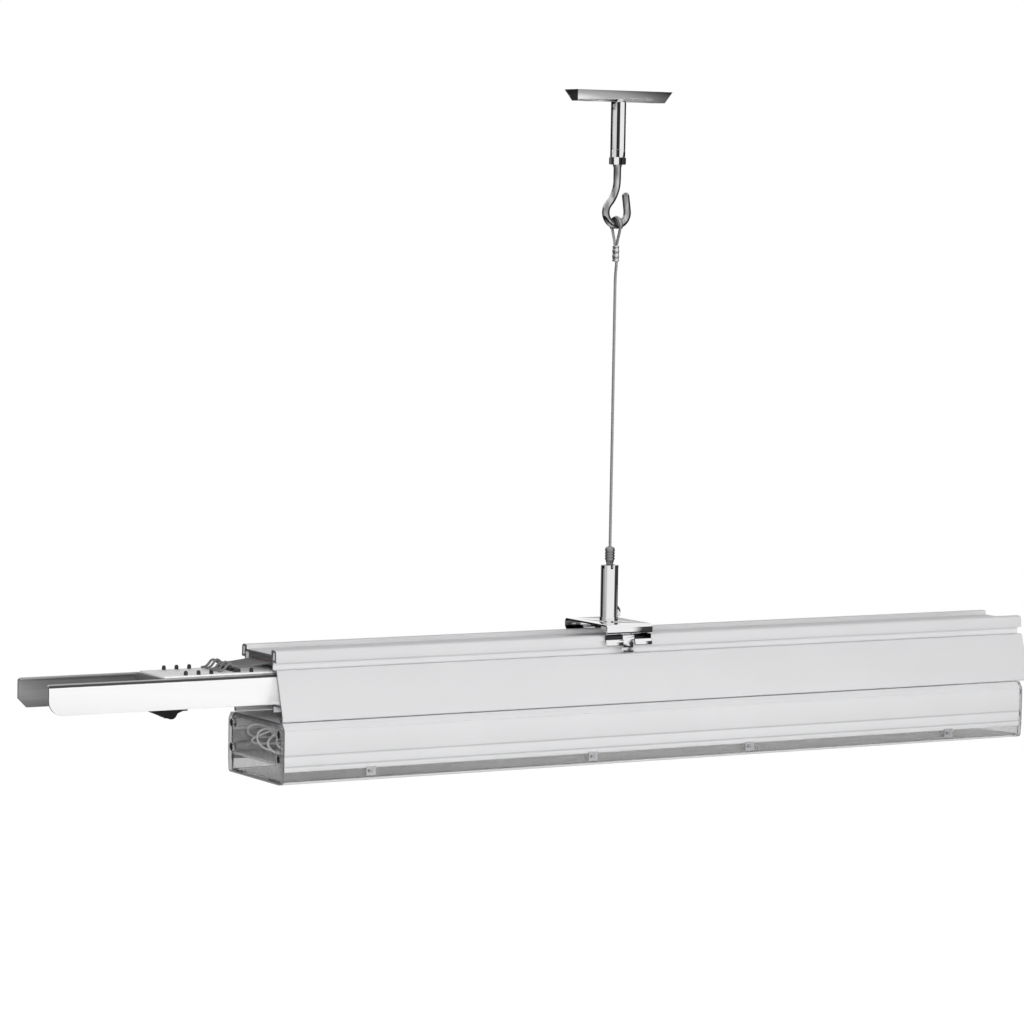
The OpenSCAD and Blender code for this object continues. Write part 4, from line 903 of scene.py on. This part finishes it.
# %% Screws
screw_head_d, screw_head_h, screw_d = 5.6 * MM, 1.6 * MM, 3 * MM
end_screw_l = 9 * MM
end_screw = pan_screw(screw_head_d, screw_head_h, screw_d, end_screw_l)
left_x, right_x = (corner.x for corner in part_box("end_screws"))
for side, edge_x, turn in (("left", left_x, FACE_LEFT), ("right", right_x, FACE_RIGHT)):
    spots = [Vector((edge_x, (a.y + b.y) / 2, (a.z + b.z) / 2)) for a, b in islands("end_screws")
             if min(abs(a.x - edge_x), abs(b.x - edge_x)) < MM]
    set_pieces(f"end_screws_{side}", end_screw, spots, turn, "zinc_plated", "end_screws")
for node in ("driver_screws", "coupler_screws"):
    boxes = islands(node)
    screw = pan_screw(screw_head_d, screw_head_h, screw_d, boxes[0][1].z - boxes[0][0].z)
    spots = [Vector(((a.x + b.x) / 2, (a.y + b.y) / 2, a.z)) for a, b in boxes]
    set_pieces(f"{node}_set", screw, spots, FACE_DOWN, "zinc_plated", node)
    bpy.data.objects.remove(screw)
bpy.data.objects.remove(end_screw)

# %% [markdown]
# ## LED packages
# Each LED is a white tray five millimetres square with a round pool of yellow phosphor in it. Tray and
# phosphor have different finishes, so they are two pieces, set out on the same points by the same tree.

# %% LEDs
led_boxes = islands("leds")
led_size = led_boxes[0][1] - led_boxes[0][0]
led_spots = [Vector(((a.x + b.x) / 2, (a.y + b.y) / 2, a.z)) for a, b in led_boxes]
tray_body = bmesh.new()
bmesh.ops.create_cube(tray_body, size=1, matrix=Matrix.Translation((0, 0, -led_size.z / 2))
                      @ Matrix.Diagonal((led_size.x, led_size.y, led_size.z, 1)))
bmesh.ops.bevel(tray_body, geom=tray_body.edges[:], offset=0.2 * MM, segments=2, affect="EDGES",
                profile=0.5)
pool_r, pool_depth = led_size.x * 0.4, led_size.z * 0.35
tray = cut("tray", tray_body, turned_body([(0, pool_depth), (pool_r, pool_depth),
                                          (pool_r * 0.85, -pool_depth), (0, -pool_depth)]))
pool = finished("pool", turned_body([(0, -pool_depth * 0.35), (pool_r * 0.6, -pool_depth * 0.45),
                                     (pool_r * 0.88, -pool_depth * 0.7), (pool_r * 0.84, -pool_depth),
                                     (0, -pool_depth)]))
set_pieces("led_trays", tray, led_spots, FACE_DOWN, "board_white", "leds")
set_pieces("led_phosphor", pool, led_spots, FACE_DOWN, "led_yellow", "leds")
for used in (tray, pool):
    bpy.data.objects.remove(used)

# %% [markdown]
# ## Floor, backdrop and light
# The studio is plain: a pale floor far below, a white surround, and large soft lamps. The world shows pure
# white to the camera and to clear plastic through the Light Path node, while it lights the object at a
# modest level, so white paint doesn't clip, and less from overhead, so the trunk's top is a shade darker
# than its face. Polished metal is only as good as what it mirrors. Its surround is white with a few grey
# and dark fields, as a photographer's screens and flags give, and it is made by the direction of the
# mirrored ray.

# %% Studio
world = bpy.data.worlds.new("studio")
bpy.context.scene.world = world
world.use_nodes = True
sky = Tree(world.node_tree)
background = world.node_tree.nodes["Background"]
rays = sky.tree.nodes.new("ShaderNodeLightPath")
seen = Value(sky, rays.outputs["Is Camera Ray"])
through = Value(sky, rays.outputs["Is Transmission Ray"])
mirrored = Value(sky, rays.outputs["Is Glossy Ray"])
direction = sky.node("ShaderNodeTexCoord", output="Generated")
parts = sky.tree.nodes.new("ShaderNodeSeparateXYZ")
sky.feed(parts.inputs[0], direction)
turned = sky.node("ShaderNodeMath", {"operation": "ARCTAN2"}, {
    0: Value(sky, parts.outputs["Y"]), 1: Value(sky, parts.outputs["X"])}) / (2 * math.pi) + 0.5


def grey(value):
    return (value, value, value, 1)


def blended(factor, a, b):
    """The colour a where the factor is 0 and b where it is 1."""
    return sky.node("ShaderNodeMix", {"data_type": "RGBA"}, {0: factor, 6: a, 7: b}, 2)


def fields(factor, stops):
    """A ramp of greys from (place, grey) pairs."""
    return sky.node("ShaderNodeValToRGB", {"stops": [(place, grey(value)) for place, value in stops]},
                    {"Fac": factor})


# Sideways, by the share of a full turn, counted from the trunk's left end with the front at a quarter
around = fields(turned, [(0.00, 0.85), (0.04, 0.5), (0.10, 1.0), (0.35, 1.0), (0.375, 0.05), (0.56, 0.04),
                         (0.64, 0.5), (0.76, 0.6), (0.79, 0.02), (0.90, 0.02), (0.94, 0.4)])
# Downwards, by the ray's dip: a dark flag, then a floor that gets lighter under the trunk
height = Value(sky, parts.outputs["Z"])
below = fields(height * -1, [(0.33, 0.03), (0.62, 0.03), (0.72, 0.16), (0.82, 0.38), (0.89, 0.52),
                             (0.94, 1.0)])
# Upwards all is white, and behind the trunk's right half the white begins just above the level
white_from, white_behind_from, dark_from = 0.35, 0.06, -0.33
behind_right = (height > white_behind_from) * (turned > 0.6) * (turned < 0.74)
surround = blended((height > white_from) + behind_right, around, WHITE)
surround = blended(height < dark_from, surround, below)
ambient = blended(height, grey(0.62), grey(0.25))
lit = blended(mirrored, ambient, surround)
white_share = sky.node("ShaderNodeMath", {"operation": "MAXIMUM"}, {0: seen, 1: through})
shown = blended(white_share, lit, WHITE)
sky.feed(background.inputs["Color"], shown)

floor_z, floor_size = -6.0, 60
bpy.ops.mesh.primitive_plane_add(size=floor_size, location=(0, 0, floor_z))
floor = bpy.context.object
floor.name = "floor"
floor_material = bpy.data.materials.new("pale_floor")
floor_material.use_nodes = True
ground = Tree(floor_material.node_tree)
floor_rays = ground.tree.nodes.new("ShaderNodeLightPath")
floor_seen = ground.node("ShaderNodeMath", {"operation": "MAXIMUM"}, {
    0: Value(ground, floor_rays.outputs["Is Camera Ray"]),
    1: Value(ground, floor_rays.outputs["Is Transmission Ray"])})
floor_shader = floor_material.node_tree.nodes["Principled BSDF"]
ground.feed(floor_shader.inputs["Base Color"], grey(0.45))
ground.feed(floor_shader.inputs["Roughness"], 0.9)
ground.feed(floor_shader.inputs["Emission Color"], WHITE)
ground.feed(floor_shader.inputs["Emission Strength"], floor_seen)
floor.data.materials.append(floor_material)
floor.visible_glossy = False
floor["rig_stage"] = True


def softbox(name, place, aim, size, watts):
    """A square area lamp that faces a point."""
    data = bpy.data.lights.new(name, "AREA")
    data.size, data.energy = size, watts
    lamp = bpy.data.objects.new(name, data)
    lamp.location = place
    lamp.rotation_euler = (Vector(aim) - Vector(place)).to_track_quat("-Z", "Y").to_euler()
    lamp.visible_glossy = False
    bpy.context.scene.collection.objects.link(lamp)


middle = (0.0, 0.0, -0.35)
softbox("key", (-1.6, -2.6, 0.15), middle, 1.6, 53)
softbox("fill", (2.2, -2.4, -0.4), middle, 1.8, 38)
softbox("back", (-0.6, 2.8, -0.45), middle, 1.8, 34)
softbox("top", (0.0, 0.6, 1.6), middle, 1.6, 2)

bpy.context.scene.view_settings.view_transform = "Standard"
print("studio ready")

# %% Finish
visual_box = [list(corner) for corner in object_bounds()]
past_low = [round(max(c - v, 0) / MM, 3) for c, v in zip(cad_box[0], visual_box[0])]
past_high = [round(max(v - c, 0) / MM, 3) for c, v in zip(cad_box[1], visual_box[1])]
print("grown past the frame by", past_low, past_high, "mm")
